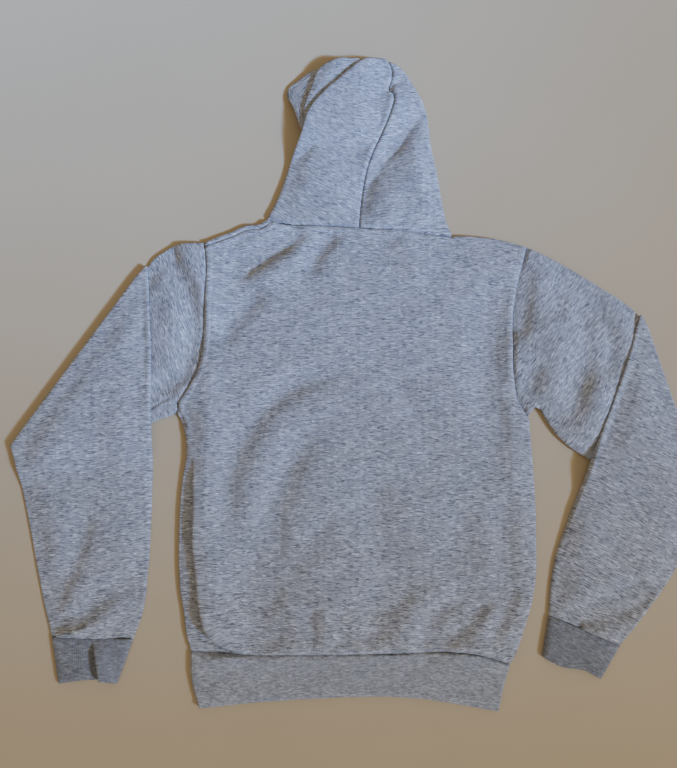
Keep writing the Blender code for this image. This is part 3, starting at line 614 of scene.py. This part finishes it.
def calc(tree, operation, *values):
    inputs = {f"_{k}": value for k, value in enumerate(values)}
    return addNode(tree, "Math", {"operation": operation}, **inputs).outputs[0]


def noise(tree, place, scale, detail, **more):
    return addNode(tree, "TexNoise", Vector=place, Scale=scale, Detail=detail, **more).outputs[0]


def ranged(tree, value, low, high):
    return addNode(tree, "MapRange", Value=value, From_Min=low, From_Max=high).outputs[0]


def mix(tree, factor, first, second):
    return addNode(tree, "Mix", {"data_type": "RGBA"}, _0=factor, _6=first, _7=second).outputs[2]


def newMaterial(name, finish):
    made = bpy.data.materials.new(name)
    made.use_nodes = True
    shader = made.node_tree.nodes["Principled BSDF"]
    for key, value in finish.items():
        shader.inputs[key].default_value = value
    return made, made.node_tree, shader.inputs


# a streak or fleck: its length along the yarn, the height of a course, a seed, and the
# noise values at which it starts and is full
marl = {
    "light": "#c3c5c7", "middle": "#a8a8aa", "dark": "#64625f", "fleck": "#413e3b",
    "bright": "#f4f6f9", "cool": "#93999f", "warm": "#a29b92",
    "streak": (17, 1.2, 3.1, 0.36, 0.64), "fine": (12, 1.0, 11.7, 0.44, 0.66),
    "darkFleck": (9, 0.9, 53.9, 0.56, 0.68), "brightFleck": (11, 1.0, 37.3, 0.60, 0.70),
    "shade": 0.36, "flecks": 0.62, "cloud": 46, "tint": 0.25, "wander": 4, "wanderSize": 34,
    "wale": 1.2, "finish": {"Roughness": 0.92, "Specular IOR Level": 0.22,
                            "Sheen Weight": 0.18, "Sheen Roughness": 0.55},
}
ribMarl = {
    **marl, "light": "#babcbd", "middle": "#a2a2a4", "dark": "#605e5c",
    "streak": (10, 2.1, 3.1, 0.36, 0.64), "fine": (5, 1.05, 11.7, 0.44, 0.66),
    # painted shade for the cuffs: the darker colour they are mixed towards, and how far
    "flecks": 0.35, "paintedShade": "#4a4a4c", "paintedShadeShare": 0.42,
    "wale": waistband["width"] / waistband["ribs"],
    "finish": {"Roughness": 0.9, "Specular IOR Level": 0.25, "Sheen Weight": 0.12,
               "Sheen Roughness": 0.5},
}


def makeKnit(name, look):
    # Cotton jersey spun from pale and charcoal fibres: the yarn changes shade every few
    # millimetres, so each course of the knit shows as a row of short streaks.
    made, tree, shader = newMaterial(name, look["finish"])
    cut = addNode(tree, "UVMap", {"uv_map": "cut"}).outputs[0]
    wander = noise(tree, cut, 1 / (look["wanderSize"] * mm), 1.0)
    along, down, _ = addNode(tree, "SeparateXYZ", Vector=cut).outputs
    down = calc(tree, "MULTIPLY_ADD", wander, look["wander"] * mm, down)

    def streaks(key):
        # rows one course high, each with its own run of shades along the yarn
        length, course, seed, low, high = look[key]
        row = calc(tree, "FLOOR", calc(tree, "MULTIPLY", down, 1 / (course * mm)))
        place = calc(tree, "MULTIPLY_ADD", along, 1 / (length * mm), seed)
        apart = calc(tree, "MULTIPLY_ADD", row, 7.31, seed)
        yarn = addNode(tree, "CombineXYZ", X=place, Y=apart, Z=0.0).outputs[0]
        shades = addNode(tree, "TexNoise", {"noise_dimensions": "2D"}, Vector=yarn, Scale=1.0,
                         Detail=1.0, Roughness=0.5).outputs[0]
        return ranged(tree, shades, low, high)

    def layer(factor, share, first, second):
        return mix(tree, calc(tree, "MULTIPLY", factor, share), first, second)

    blotch = ranged(tree, noise(tree, cut, 1 / (look["cloud"] * mm), 2.0), 0.36, 0.64)
    fine = streaks("fine")
    colour = layer(streaks("streak"), 1.0, look["light"], look["middle"])
    colour = layer(fine, look["shade"], colour, look["dark"])
    colour = layer(blotch, look["tint"], colour, layer(blotch, 1.0, look["warm"], look["cool"]))
    colour = layer(streaks("brightFleck"), look["flecks"], colour, look["bright"])
    colour = layer(streaks("darkFleck"), look["flecks"], colour, look["fleck"])
    # painted shade: where the mark is set, on the cuffs, the colour is mixed towards a darker
    # one
    if "paintedShade" in look:
        paintedShade = addNode(tree, "Attribute", {"attribute_name": "paintedShade"}).outputs["Fac"]
        colour = layer(paintedShade, look["paintedShadeShare"], colour, look["paintedShade"])
    fill(tree, shader["Base Color"], colour)

    # loops of the knit: wales along the garment, a thicker and thinner yarn across it
    wave = addNode(tree, "TexWave", {"wave_type": "BANDS", "bands_direction": "X"}, Vector=cut,
                   Scale=2 * np.pi / (look["wale"] * mm) / 20, Distortion=0.0)
    rise = calc(tree, "MULTIPLY_ADD", fine, -0.9, wave.outputs["Fac"])
    loops = addNode(tree, "Bump", Height=rise, Strength=0.5, Distance=0.35 * mm)
    fill(tree, shader["Normal"], loops.outputs[0])
    return made


def makeMottled(name, roughness, scale, detail, first, second):
    made, tree, shader = newMaterial(name, {"Roughness": roughness})
    place = addNode(tree, "TexCoord").outputs["Object"]
    tint = mix(tree, noise(tree, place, scale, detail), first, second)
    fill(tree, shader["Base Color"], tint)
    return made


# Brushed-back cotton fleece with a fine marl face, matt, its short nap catching light at grazing
# angles; the same yarn with elastane in a 1 by 1 rib, denser and without nap, the cuffs painted
# a little darker as painted shade for the dimmer light at the garment's lower end; spun
# polyester thread with a slight gloss.
finishes = {"fleece": makeKnit("fleece", marl), "rib": makeKnit("rib", ribMarl)}
thread = makeMottled("sewing thread", 0.6, 1 / (0.8 * mm), 1.0, "#b4b6ba", "#e2e4e6")
print("materials made")

# name: node, slot, flat size and area of the cut that shows, what it rests on
cutPieces = {
    "bodyBack": ("back", "fleece", (0.505, 0.615), 0.27, ["front"]),
    "bodyFront": ("front", "fleece", (0.505, 0.615), 0.255, []),
    "waistbandRib": ("waistband", "rib", (0.86, 0.07), None, ["bodyFront"]),
    "sleeveLeft": ("sleeve_left", "fleece", (0.5, 0.63), 0.235, ["bodyFront"]),
    "sleeveRight": ("sleeve_right", "fleece", (0.5, 0.63), 0.235, ["bodyFront"]),
    "cuffLeft": ("cuff_left", "rib", (0.18, 0.058), None, []),
    "cuffRight": ("cuff_right", "rib", (0.18, 0.058), None, []),
    "hoodLeft": ("hood_left", "fleece", (0.2, 0.36), 0.05, ["bodyFront"]),
    "hoodRight": ("hood_right", "fleece", (0.2, 0.36), 0.05, ["bodyFront"]),
    "hoodBrow": ("hood_brow", "fleece", (0.03, 0.19), None, ["hoodHem"]),
    "hoodHem": ("hood_hem", "fleece", (0.062, 0.68), None, []),
}


def addObject(name, data):
    made = bpy.data.objects.new(name, data)
    bpy.context.scene.collection.objects.link(made)
    return made


def meshFrom(name, shape, material):
    mesh = bpy.data.meshes.new(name)
    shape.to_mesh(mesh)
    shape.free()
    mesh.shade_smooth()
    mesh.materials.append(material)
    return mesh


def clothPiece(name, points, cut, ring=False, thickness=None):
    # a wall of cloth on a grid of middle points; cut is each point's place in the cut piece
    node, slotName, flat, area, restsOn = cutPieces[name]
    points, cut = np.array(points), np.array(cut)
    if ring:
        points, cut = (np.concatenate([a, a[:, :1]], axis=1) for a in (points, cut))
    rows, columns = points.shape[:2]
    grid = bmesh.new()
    bmesh.ops.create_grid(grid, x_segments=columns - 1, y_segments=rows - 1, size=1)
    mesh = meshFrom(name, grid, finishes[slotName])
    placed = (points.reshape(-1, 3) - (*planCentre, 0)) * mm
    mesh.vertices.foreach_set("co", placed.astype(np.float32).ravel())
    corner = np.zeros(len(mesh.loops), np.int32)
    mesh.loops.foreach_get("vertex_index", corner)
    uv = mesh.uv_layers.new(name="cut")
    uv.data.foreach_set("uv", (cut.reshape(-1, 2) * mm)[corner].astype(np.float32).ravel())
    if ring:
        joined = bmesh.new()
        joined.from_mesh(mesh)
        bmesh.ops.remove_doubles(joined, verts=joined.verts, dist=1e-7)
        joined.to_mesh(mesh)
        joined.free()
    piece = addObject(name, mesh)
    wall = piece.modifiers.new("wall", "SOLIDIFY")
    wall.thickness = (thickness or fabric[slotName]) * mm
    wall.offset = 0
    wall.use_quality_normals = True
    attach(piece, "root")
    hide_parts(node)
    print("piece made:", name, rows, "x", columns)
    return piece


def sideRows(name):
    side, armhole = spline(body[name + "Side"]), spline(body[name + "Armhole"])
    low, high = runs(side)[-1], runs(armhole)[-1]
    low = atShare(side, graded(low, body["sideRows"]) / low)
    high = atShare(armhole, graded(high, body["armholeRows"], seamSteps) / high)
    return np.concatenate([low, high[1:]])


def rollOver(plan):
    # the rolled edge hangs over the strip beside it, and the strip runs back under it
    flat = plan.reshape(-1, 2)
    curve = spline(rolled["line"])
    gap, share, side = nearest(flat, curve)
    gap = -side * gap
    hang = bump(gap, *rolled["hang"]) - rolled["tuckShare"] * bump(gap, *rolled["tuck"])
    hang = hang * smooth(flat[:, 1], rolled["top"], rolled["top"] - rolled["hangFade"])
    hang = hang * smooth(share, 0.02, 0.16) * (share > 0) * (share < 1)
    spot = np.clip((share * (len(curve) - 1)).round().astype(int), 0, len(curve) - 1)
    outward = leftOf(unit(np.gradient(curve, axis=0))[spot])
    return (flat + outward * (rolled["overhang"] * hang)[:, None]).reshape(plan.shape)


def makeBack():
    left, right = sideRows("left"), sideRows("right")
    top = np.concatenate([spline(body[k]) for k in ("leftShoulder", "neck", "rightShoulder")])
    edge = spline(rolled["line"])
    rim = np.array(rimSteps[:6])
    share = []
    for a, b in zip(left, right):
        width = np.linalg.norm(b - a)
        strip = rolled["least"]
        if a[1] < rolled["line"][-1][1]:
            strip = max(strip, np.interp(a[1], edge[:, 1], edge[:, 0]) - a[0])
        strip += (rolled["foot"] - strip) * smooth(a[1], *rolled["footWidens"])
        near = np.concatenate([rim, np.linspace(rim[-1], strip - 5, 6)[1:],
                               strip + np.linspace(-5, 9, 20)[1:]])
        far = np.linspace(near[-1], width - rimSteps[-1], body["columns"])[1:]
        share.append([*near / width, *far / width, *(1 - d / width for d in rimSteps[-2::-1])])
    plan = patch(left, right, spline(body["waist"]), top, np.array(share))
    points = lifted(plan, lambda p: surface(p) + gathers(p))
    points[..., :2] = rollOver(plan)
    clothPiece("bodyBack", points, plan)


def makeFront():
    left, right = sideRows("left"), sideRows("right")
    last = len(left) - 18
    rows = np.unique(np.r_[0:8, 8:last:3, last:len(left)])
    frontNeck = np.array(body["frontNeck"], float)
    top = np.concatenate([spline(body["leftShoulder"]), frontNeck[1:-1],
                          spline(body["rightShoulder"])])
    run = runs(top)
    neck = [run[np.argmin(np.linalg.norm(top - p, axis=1))] for p in frontNeck]
    stops = [rimSteps[-1], *neck, run[-1] - rimSteps[-1]]
    inner = np.concatenate([np.linspace(a, b, 9)[:-1] for a, b in zip(stops[:-1], stops[1:])])
    across = np.concatenate([rimSteps[:-1], inner, run[-1] - np.array(rimSteps[::-1])])
    plan = patch(left[rows], right[rows], spline(body["waist"]), top, across / run[-1])
    clothPiece("bodyFront", lifted(plan, lower), plan)


def rings(uppers, lowers):
    # rings of a flattened tube: over the top, then back along the underside
    return [np.concatenate([a, b[-2:0:-1]]) for a, b in zip(uppers, lowers)]


def makeWaistband():
    columns = np.linspace(0, 1, 3 * waistband["ribs"] + 1)
    left, right = spline(waistband["left"]), spline(waistband["right"])
    length = runs(left)[-1]
    rows = np.concatenate([[fabric["seam"], 0.9, 1.6, 2.4, 3.3, 4.4],
                           np.linspace(6, length - 6, 20), length - np.array([4, 2.2, 1, 0])])
    plan = patch(at(left, rows), at(right, rows * runs(right)[-1] / length),
                 spline(body["waist"]), spline(waistband["hem"]), columns)
    extra = (fabric["rib"] - fabric["fleece"]) / 2
    top = lifted(plan, lambda p: surface(p) + extra)
    under = lifted(plan, lambda p: lower(p, extra))
    ribs = waistband["ribHeight"] * np.cos(2 * np.pi * waistband["ribs"] * columns)
    top[..., 2] += ribs * smooth(np.minimum(columns, 1 - columns) * waistband["width"], 2, 12)
    # it closes towards the hem
    shut, least = under[..., 2] + waistband["hemThick"], waistband["hemOpen"]
    opened = least + (1 - least) * smooth(length - rows, 0, waistband["hemReach"])
    top[..., 2] = shut + (top[..., 2] - shut) * opened[:, None]
    cut = np.stack(np.meshgrid(columns * waistband["width"], rows), axis=-1)
    clothPiece("waistbandRib", rings(top, under), rings(cut, cut), ring=True)


def sleeveLines(name):
    # its edges as smooth curves, its wrist and the line of its elbow fold
    sleeve = sleeves[name]
    lines = {key: spline(line) for key, line in sleeve.items() if key.endswith(("Edge", "End"))}
    wrist = np.array([sleeve["outerEdge"][-1], sleeve["innerEdge"][-1]], float)
    return {**lines, "armhole": spline(body[name + "Armhole"]), "fold": foldLine(name),
            "wrist": wrist}


def mirrored(points, start, along):
    # where a point of the folded forearm lay before the elbow was folded
    off = points - start
    return start + 2 * (off @ along)[..., None] * along - off


def overSupport(points, name):
    # middle of the forearm's underside: on the upper arm, then down to the floor
    held = smooth(inside(points, name, "underarmEdge"), *forearm["held"])
    onArm = fullHeight(points) + fabric["fleece"] + fabric["seam"]
    bulb = bump(nearest(points, foldLine(name))[0], 0, forearm["bulb"])
    onFold = onArm + (lie["floor"] + 2 * elbow["radius"] - onArm) * bulb
    return lie["floor"] + (onFold - lie["floor"]) * np.maximum(held, bulb)


def foreArm(name, lines, plan):
    # heights of the forearm's two walls, which lie on the upper arm
    flat = plan.reshape(-1, 2)
    fold, wrist = lines["fold"], lines["wrist"]
    under = lifted(plan, lambda p: overSupport(p, name))
    top = under.copy()
    fromFold = nearest(flat, fold)[0]
    fromEdge = np.minimum(*(nearest(flat, lines[key])[0] for key in ("outerEdge", "innerEdge")))
    thick = forearm["puff"] * smooth(fromEdge, 0, forearm["puffReach"]) + rumple(flat)
    thick = thick + lie["foldGain"] * relief(flat, foreFolds[name])
    thick = thick * smooth(fromFold, 0, forearm["foldReach"])
    thin, least, bend = forearm["rim"], forearm["least"], forearm["bend"]
    flatEdge = thin + (2 * elbow["half"] - thin) * smooth(fromEdge, *forearm["rimReach"])
    thick = flatEdge + bend * np.logaddexp(0, (thick - least) / bend) + least
    gap, share, _ = nearest(flat, wrist)
    ease = share * forearm["wristWidth"]
    pucker = forearm["pucker"] * (np.sin(ease / 1.9) + 0.8 * np.sin(ease / 3.1 + 1))
    thick += pucker * np.exp(-gap / forearm["puckerReach"]) * smooth(gap, 0, 3)
    (ridge, off, wide), (dip, narrow) = forearm["hemRidge"], forearm["seamDip"]
    thick += ridge * np.exp(-((gap - off) / wide)**4) - dip * bump(gap, 0, narrow)
    top[..., 2] += thick.reshape(plan.shape[:2])
    half = forearm["edgeHalf"]
    half = half + (elbow["half"] - half) * (1 - smooth(fromFold, 0, forearm["edgeReach"]))
    edge = under[..., 2] + half.reshape(plan.shape[:2])
    rim = rounded(fromEdge, elbow["roll"]).reshape(edge.shape)
    for wall in (top, under):
        wall[..., 2] = edge + (wall[..., 2] - edge) * rim
    return top, under


def makeSleeve(name):
    # rings from the armhole to the elbow, over the fold, and back down to the wrist
    lines = sleeveLines(name)
    armhole, fold = lines["armhole"], lines["fold"]
    span = np.linalg.norm(fold[1] - fold[0])
    along = unit(fold[1] - fold[0])
    outward = leftOf(along)
    outward *= sleeves[name]["turn"] * np.sign(outward[0])
    across = graded(runs(armhole)[-1], sleeveGrid["across"], seamSteps) / runs(armhole)[-1]
    near = [0, 0.008, 0.02, 0.04, 0.065, *np.linspace(0.1, 1, sleeveGrid["upperRows"])]
    plan = patch(atShare(lines["underarmEdge"], near), atShare(lines["shoulderEdge"], near),
                 armhole, fold, across)
    plan[0] += unit(plan[3] - plan[0]) * fabric["seam"]
    walls = rings(lifted(plan, surface), lifted(plan, lower))
    cuts = rings(plan, plan)

    line = atShare(fold, across)
    fromEnds = np.minimum(across, 1 - across) * span
    thin = elbow["thin"]
    half = thin + (elbow["half"] - thin) * smooth(fromEnds, 2, 30)
    half = (half * rounded(fromEnds, lie["roll"]))[:, None]
    # the fold stands out less at its inner end, where the sleeve's upper edge holds it
    bulge = elbow["radius"] * (0.4 + 0.6 * smooth((1 - across) * span, 0, 25))[:, None]
    for turn in np.radians(np.linspace(0, 180, elbow["turns"] + 2)[1:-1]):
        rise = lie["floor"] + elbow["half"] + elbow["radius"] * (1 - np.cos(turn))
        middle = np.column_stack([line + outward * bulge * np.sin(turn),
                                  np.full(len(line), rise)])
        normal = np.array([*(-outward * np.sin(turn)), np.cos(turn)])
        walls += rings([middle + normal * half], [middle - normal * half])
        opened = line + outward * elbow["radius"] * turn
        cuts += rings([opened], [opened])

    far = [0, *np.linspace(0.02, 0.97, sleeveGrid["foreRows"]), 0.98, 0.988, 0.994, 1.0]
    plan = patch(atShare(lines["outerEdge"], far), atShare(lines["innerEdge"], far),
                 fold, lines["wrist"], across)[1:]
    top, under = foreArm(name, lines, plan)
    walls += rings(under, top)
    opened = mirrored(plan, fold[0], along) + outward * elbow["radius"] * np.pi
    cuts += rings(opened, opened)
    # the cut lies unfolded, turned so that its courses run along x
    fore = np.array(sleeves[name]["forearm"])
    axis = 2 * (fore @ along) * along - fore
    cuts = np.array(cuts)
    cuts = np.stack([cuts @ leftOf(axis), cuts @ axis], axis=-1)
    clothPiece("sleeve" + name.capitalize(), walls, cuts, ring=True)


def makeCuff(name):
    lines = sleeveLines(name)
    wrist, end = lines["wrist"], lines["cuffEnd"]
    rows = np.concatenate([np.linspace(0, 0.93, cuff["rows"]), [0.96, 0.985, 1.0]])
    sides = [np.array([wrist[k] + (end[-k] - wrist[k]) * r for r in rows]) for k in (0, 1)]
    across = np.linspace(0, 1, 4 * cuff["ribs"] + 1)
    plan = patch(*sides, wrist, end, across)
    plan[0] += unit(plan[1] - plan[0]) * fabric["seam"]
    rim = rounded(np.minimum(across, 1 - across) * cuff["width"], lie["roll"])
    down, place = rows[:, None], across * cuff["width"]
    fromSeam = down * cuff["height"]
    thick = cuff["thick"] + cuff["swell"] * np.sin(np.pi * across)
    thick = thick * (1 - cuff["hemThins"] * smooth(down, 0.9, 1.0))
    if name == "left":
        # one pleat opens towards the hem: a slope on the outer side, a high flap beside it
        start, stop = cuff["pleatPlace"]
        away = place - (start + (stop - start) * down)
        atSeam, more = cuff["pleatOpens"]
        reach = np.where(away < 0, atSeam + more * down, cuff["pleatSteep"])
        deep = smooth(down, 0.0, 0.55)
        thick = thick - cuff["pleat"] * deep * bump(away, 0, reach)
        flap = smooth(away, *cuff["flapRises"]) * (1 - smooth(away, *cuff["flapFalls"]))
        thick = thick + cuff["flap"] * deep * flap
    thick = np.maximum(thick, fabric["rib"] + fabric["seam"])
    thick = thick + cuff["ribHeight"] * np.cos(2 * np.pi * cuff["ribs"] * across)
    pucker = np.sin(place / 1.7 + np.sin(place / 9)) + 0.8 * np.sin(place / 3.1 + 1)
    thick = (thick + cuff["pucker"] * pucker * np.exp(-fromSeam / cuff["puckerReach"])
             - cuff["seamDip"] * bump(fromSeam, 0, cuff["dipReach"]))
    middle = fabric["rib"] / 2 + elbow["half"]
    top = middle + rim * (thick - elbow["half"])
    under = np.broadcast_to(middle - rim * elbow["half"], top.shape)
    flat = plan.reshape(-1, 2)
    cut = np.stack(np.meshgrid(place, rows * cuff["height"]), axis=-1)
    piece = clothPiece("cuff" + name.capitalize(),
                       rings(stacked(plan, flat, top), stacked(plan, flat, under)),
                       rings(cut, cut), ring=True)
    # painted shade: every point of the cuff is marked, so that its colour is darkened
    paintedShade = piece.data.attributes.new("paintedShade", "FLOAT", "POINT")
    paintedShade.data.foreach_set("value", np.ones(len(piece.data.vertices), np.float32))


def hoodLift(points, flap=0.0):
    # The brow and the hem climb from the floor to the left half, which is held up where
    # they pass under it.
    away = (points - hoodRise["place"]) @ lightSide + hoodRise["start"]
    crown = hoodRise["crown"] * np.clip(away / hoodRise["reach"], 0, 1)
    held = (flap * smooth(points[:, 1], *hoodRise["flapAlong"])
            + crown * smooth(points[:, 1], *hoodRise["crownAlong"]))
    return held * smooth(points[:, 0], *hoodRise["across"])


def leaned(plan, lift, height):
    # cloth that stands higher leans back, so that its outline stays where it was
    flat = plan.reshape(-1, 2)
    back = (flat - camera["foot"]) * (lift / camera["height"])[:, None]
    return stacked(plan, flat - back, height)


def makeHood(name):
    # from the centre seam over the top to the rolled outline, and back under
    centre = spline(hoodSeam)
    outline, crown, inner = (spline(hood[name][key]) for key in ("outline", "crown", "inner"))
    rows = [0, 0.003, 0.008, 0.015, 0.024, *np.linspace(0.035, 0.97, hoodGrid["rows"]), 0.98,
            0.99, 1.0]
    halfNeck = [p for p in spline(body["neck"]) if (p[0] < hoodSeam[0][0]) == (name == "left")]
    halfNeck = np.array([hoodSeam[0]] + (halfNeck[::-1] if name == "left" else halfNeck), float)
    across = graded(hoodGrid["width"], hoodGrid["across"]) / hoodGrid["width"]
    rimSide = atShare(outline, rows)
    plan = patch(atShare(centre, rows), rimSide, halfNeck, crown[::-1], across)
    plan[:, 0, 0] += (1 if name == "right" else -1) * fabric["seam"] / 2
    plan[0, :, 1] += fabric["seam"]
    flat = plan.reshape(-1, 2)
    lift = hoodLift(flat, hoodRise["flap"])
    fromCrown = smooth(nearest(flat, crown)[0], *hoodRise["edgeReach"])
    edge = lie["side"] + lift - hoodRise["edgeDips"] * (1 - fromCrown)
    full = np.maximum(fullHeight(flat), lie["rest"] + lift + fabric["seam"])
    top = edge + (full - edge) * rounded(toOutline(flat), lie["roll"])
    over = leaned(plan, lift, sewn(flat, top))

    brim = atShare(inner, rows)
    width = np.linalg.norm(brim - rimSide, axis=1)
    inward = np.array([[*rimSteps[1:], *np.linspace(rimSteps[-1], w, hoodGrid["under"])[1:]]
                       for w in width])
    underPlan = (rimSide[:, None]
                 + (brim - rimSide)[:, None] * (inward / width[:, None])[..., None])
    away = np.linalg.norm(underPlan - rimSide[:, None], axis=2).reshape(-1)
    lift = hoodLift(underPlan.reshape(-1, 2), hoodRise["flap"])
    low = lift + lie["side"] + (lie["floor"] - lie["side"]) * rounded(away, lie["underRoll"])
    cut = np.concatenate([plan, underPlan], axis=1)
    lean, bow = hood[name]["courses"]
    x = cut[..., 0]
    cut[..., 1] += lean * x + bow * (hoodGrid["bowFrom"] - x)**2
    clothPiece("hood" + name.capitalize(),
               np.concatenate([over, leaned(underPlan, lift, low)], axis=1), cut)


def makeBrow():
    outer, hidden = spline(brow["outer"]), spline(brow["hidden"])
    rows, across = np.linspace(0, 1, brow["rows"]), np.linspace(0, 1, brow["across"])
    a, b = atShare(outer, rows)[:, None], atShare(hidden, rows)[:, None]
    plan = a + (b - a) * across[:, None]
    level = fabric["hem"] + fabric["seam"] + fabric["fleece"] / 2 + brow["clear"]
    sink = brow["sink"] * smooth(rows, *brow["sinkRows"])
    height = level - sink[:, None] * (1 - rounded(across, brow["sinkAcross"]))
    lift = hoodLift(plan.reshape(-1, 2))
    clothPiece("hoodBrow", leaned(plan, lift, height.ravel() + lift), plan)


def makeHem():
    # band round the face opening: one flat strip turned double
    line = atShare(spline(hem["line"]), np.linspace(0, 1, hem["rows"]))
    side = leftOf(unit(np.gradient(line, axis=0)))
    turn = np.linspace(0, 2 * np.pi, hem["sides"] + 1)[:-1]
    flatter, rounder = hem["roundness"]
    reach = 0.5 * hem["width"] * np.sign(np.cos(turn)) * np.abs(np.cos(turn))**flatter
    middle = fabric["hem"] / 2
    high = (middle - hem["wall"] / 2 - hem["clear"]) * np.sign(np.sin(turn))
    height = middle + high * np.abs(np.sin(turn))**rounder
    fromCorner = np.linalg.norm(line - hem["corner"], axis=1)
    kink = hem["kink"] * bump(fromCorner, 0, hem["kinkReach"])
    points = np.array([[(*(p + n * (r + k * (r > 0))), z) for r, z in zip(reach, height)]
                       for p, n, k in zip(line, side, kink)])
    lift = hoodLift(points[..., :2].reshape(-1, 2))
    points = leaned(points[..., :2], lift, points[..., 2].ravel() + lift)
    cut = np.array([[(d, r) for r in reach] for d in runs(line)])
    clothPiece("hoodHem", points, cut, ring=True, thickness=hem["wall"])


makeBack()
makeFront()
makeWaistband()
for sideName in sleeves:
    makeSleeve(sideName)
    makeCuff(sideName)
for sideName in hood:
    makeHood(sideName)
makeBrow()
makeHem()

# name: seam line, distance of each row of stitches from it, side
stitching = {
    "neck": (body["neck"], (2.6, 8.4), -1),
    "leftArmhole": (body["leftArmhole"], (2.6, 8.6), -1),
    "rightArmhole": (body["rightArmhole"], (2.6, 8.6), 1),
    "waist": (body["waist"], (2.4, 8.0), 1),
    "leftShoulder": (shoulderLine, (2.2, 7.2), -1),
    "waistRight": ([(84, -255), (100, -253), (128, -252), (152, -256), (176, -261),
                    (194, -267)], (0.6,), -1),
    "waistMiddle": ([(8, -256.5), (32, -256), (52, -255.5), (70, -255)], (0.6,), -1),
    "neckPatch": ([(-34, 326), (-33, 252), (42, 252), (42, 326)], (0.0,), 1),
}
stitch = {"length": 2.8, "pitch": 3.8, "width": 0.55, "height": 0.34, "clear": 0.05,
          "margin": 2, "near": 0.8, "slopeReach": 1.2}


def posed(axes, place):
    # the matrix with these three axes as its columns, at the given place
    return Matrix([[*(axis[k] for axis in axes), place[k]] for k in range(3)] + [[0, 0, 0, 1]])


def makeStitches(name, line, offsets, side):
    curve = spline(line) if name != "neckPatch" else np.array(line, float)
    places = np.arange(stitch["margin"], runs(curve)[-1] - stitch["margin"], stitch["pitch"])
    near, reach = stitch["near"], stitch["slopeReach"]
    middle, step = at(curve, places), unit(at(curve, places + near) - at(curve, places - near))
    row = bmesh.new()
    for offset in offsets:
        spots = middle + side * offset * leftOf(step)
        here, ahead, behind = (surface(p) + gathers(p)
                               for p in (spots, spots + step * reach, spots - step * reach))
        for spot, way, z, slope in zip(spots, step, here, (ahead - behind) / (2 * reach)):
            forward = np.array([*way, slope]) / np.hypot(1, slope)
            across = np.array([-way[1], way[0], 0])
            axes = (forward * stitch["length"] * mm, across * stitch["width"] * 2 * mm,
                    np.cross(forward, across) * stitch["height"] * 2 * mm)
            centre = np.array([*(spot - planCentre), z + fabric["fleece"] / 2 + stitch["clear"]])
            bmesh.ops.create_uvsphere(row, u_segments=6, v_segments=4, radius=0.5,
                                      matrix=posed(axes, centre * mm))
    name = "stitches" + name[0].upper() + name[1:]
    piece = addObject(name, meshFrom(name, row, thread))
    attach(piece, "root")


for seamName, (seamLine, offsets, seamSide) in stitching.items():
    makeStitches(seamName, seamLine, offsets, seamSide)
print("seams stitched")

studio = {
    "floor": ("#cdb58c", "#d6bf97"), "sky": "#fff2e2", "skyStrength": 0.36,
    "lamps": {
        # a warm key, and a cool one from the same side that fades towards the cuffs
        "key": {"kind": "AREA", "place": (6.9, -4.0, 5.6), "aim": (0, 0, 0), "power": 270,
                "colour": "#fff1bc", "size": 2.6},
        "window": {"kind": "SPOT", "place": (6.9, -4.0, 5.6), "aim": (-2.1, 2.2, 0),
                   "power": 23000, "colour": "#78aaff", "size": 1.5, "cone": 20},
    },
}


def makeFloor():
    # plain matt painted board, faintly uneven so that it doesn't look like paper
    plane = bmesh.new()
    bmesh.ops.create_grid(plane, x_segments=1, y_segments=1, size=4)
    board = makeMottled("floor board", 0.75, 3.0, 3.0, *studio["floor"])
    floor = addObject("floor", meshFrom("floor", plane, board))


def makeLamp(name, lamp):
    data = bpy.data.lights.new(name, lamp["kind"])
    data.energy = lamp["power"]
    data.color = hexColour(lamp["colour"])[:3]
    if lamp["kind"] == "AREA":
        data.shape = "DISK"
        data.size = lamp["size"]
    else:
        data.shadow_soft_size = lamp["size"] / 2
        data.spot_size = np.radians(lamp["cone"])
        data.spot_blend = 1.0
    back = unit(np.array(lamp["place"]) - lamp["aim"])
    right = unit(np.cross([0, 0, 1], back))
    addObject(name, data).matrix_world = posed((right, np.cross(back, right), back),
                                               lamp["place"])


def makeCamera():
    data = bpy.data.cameras.new("camera")
    data.sensor_width = 36
    data.lens = data.sensor_width * camera["focal"] / camera["tall"]
    down, roll = np.radians(camera["down"]), np.radians(camera["roll"])
    ahead = np.array([0, np.cos(down), -np.sin(down)])
    up = np.array([0, np.sin(down), np.cos(down)])
    right = np.array([1.0, 0, 0])
    across = np.cos(roll) * right + np.sin(roll) * up
    above = -np.sin(roll) * right + np.cos(roll) * up
    made = addObject("camera", data)
    made.matrix_world = posed((across, above, -ahead), camera["place"])
    bpy.context.scene.camera = made


makeFloor()
for lampName, lampSetup in studio["lamps"].items():
    makeLamp(lampName, lampSetup)
world = bpy.data.worlds.new("soft room")
bpy.context.scene.world = world
world.use_nodes = True
sky = world.node_tree.nodes["Background"].inputs
sky[0].default_value, sky[1].default_value = hexColour(studio["sky"]), studio["skyStrength"]
makeCamera()
bpy.context.view_layer.update()
print("scene ready")
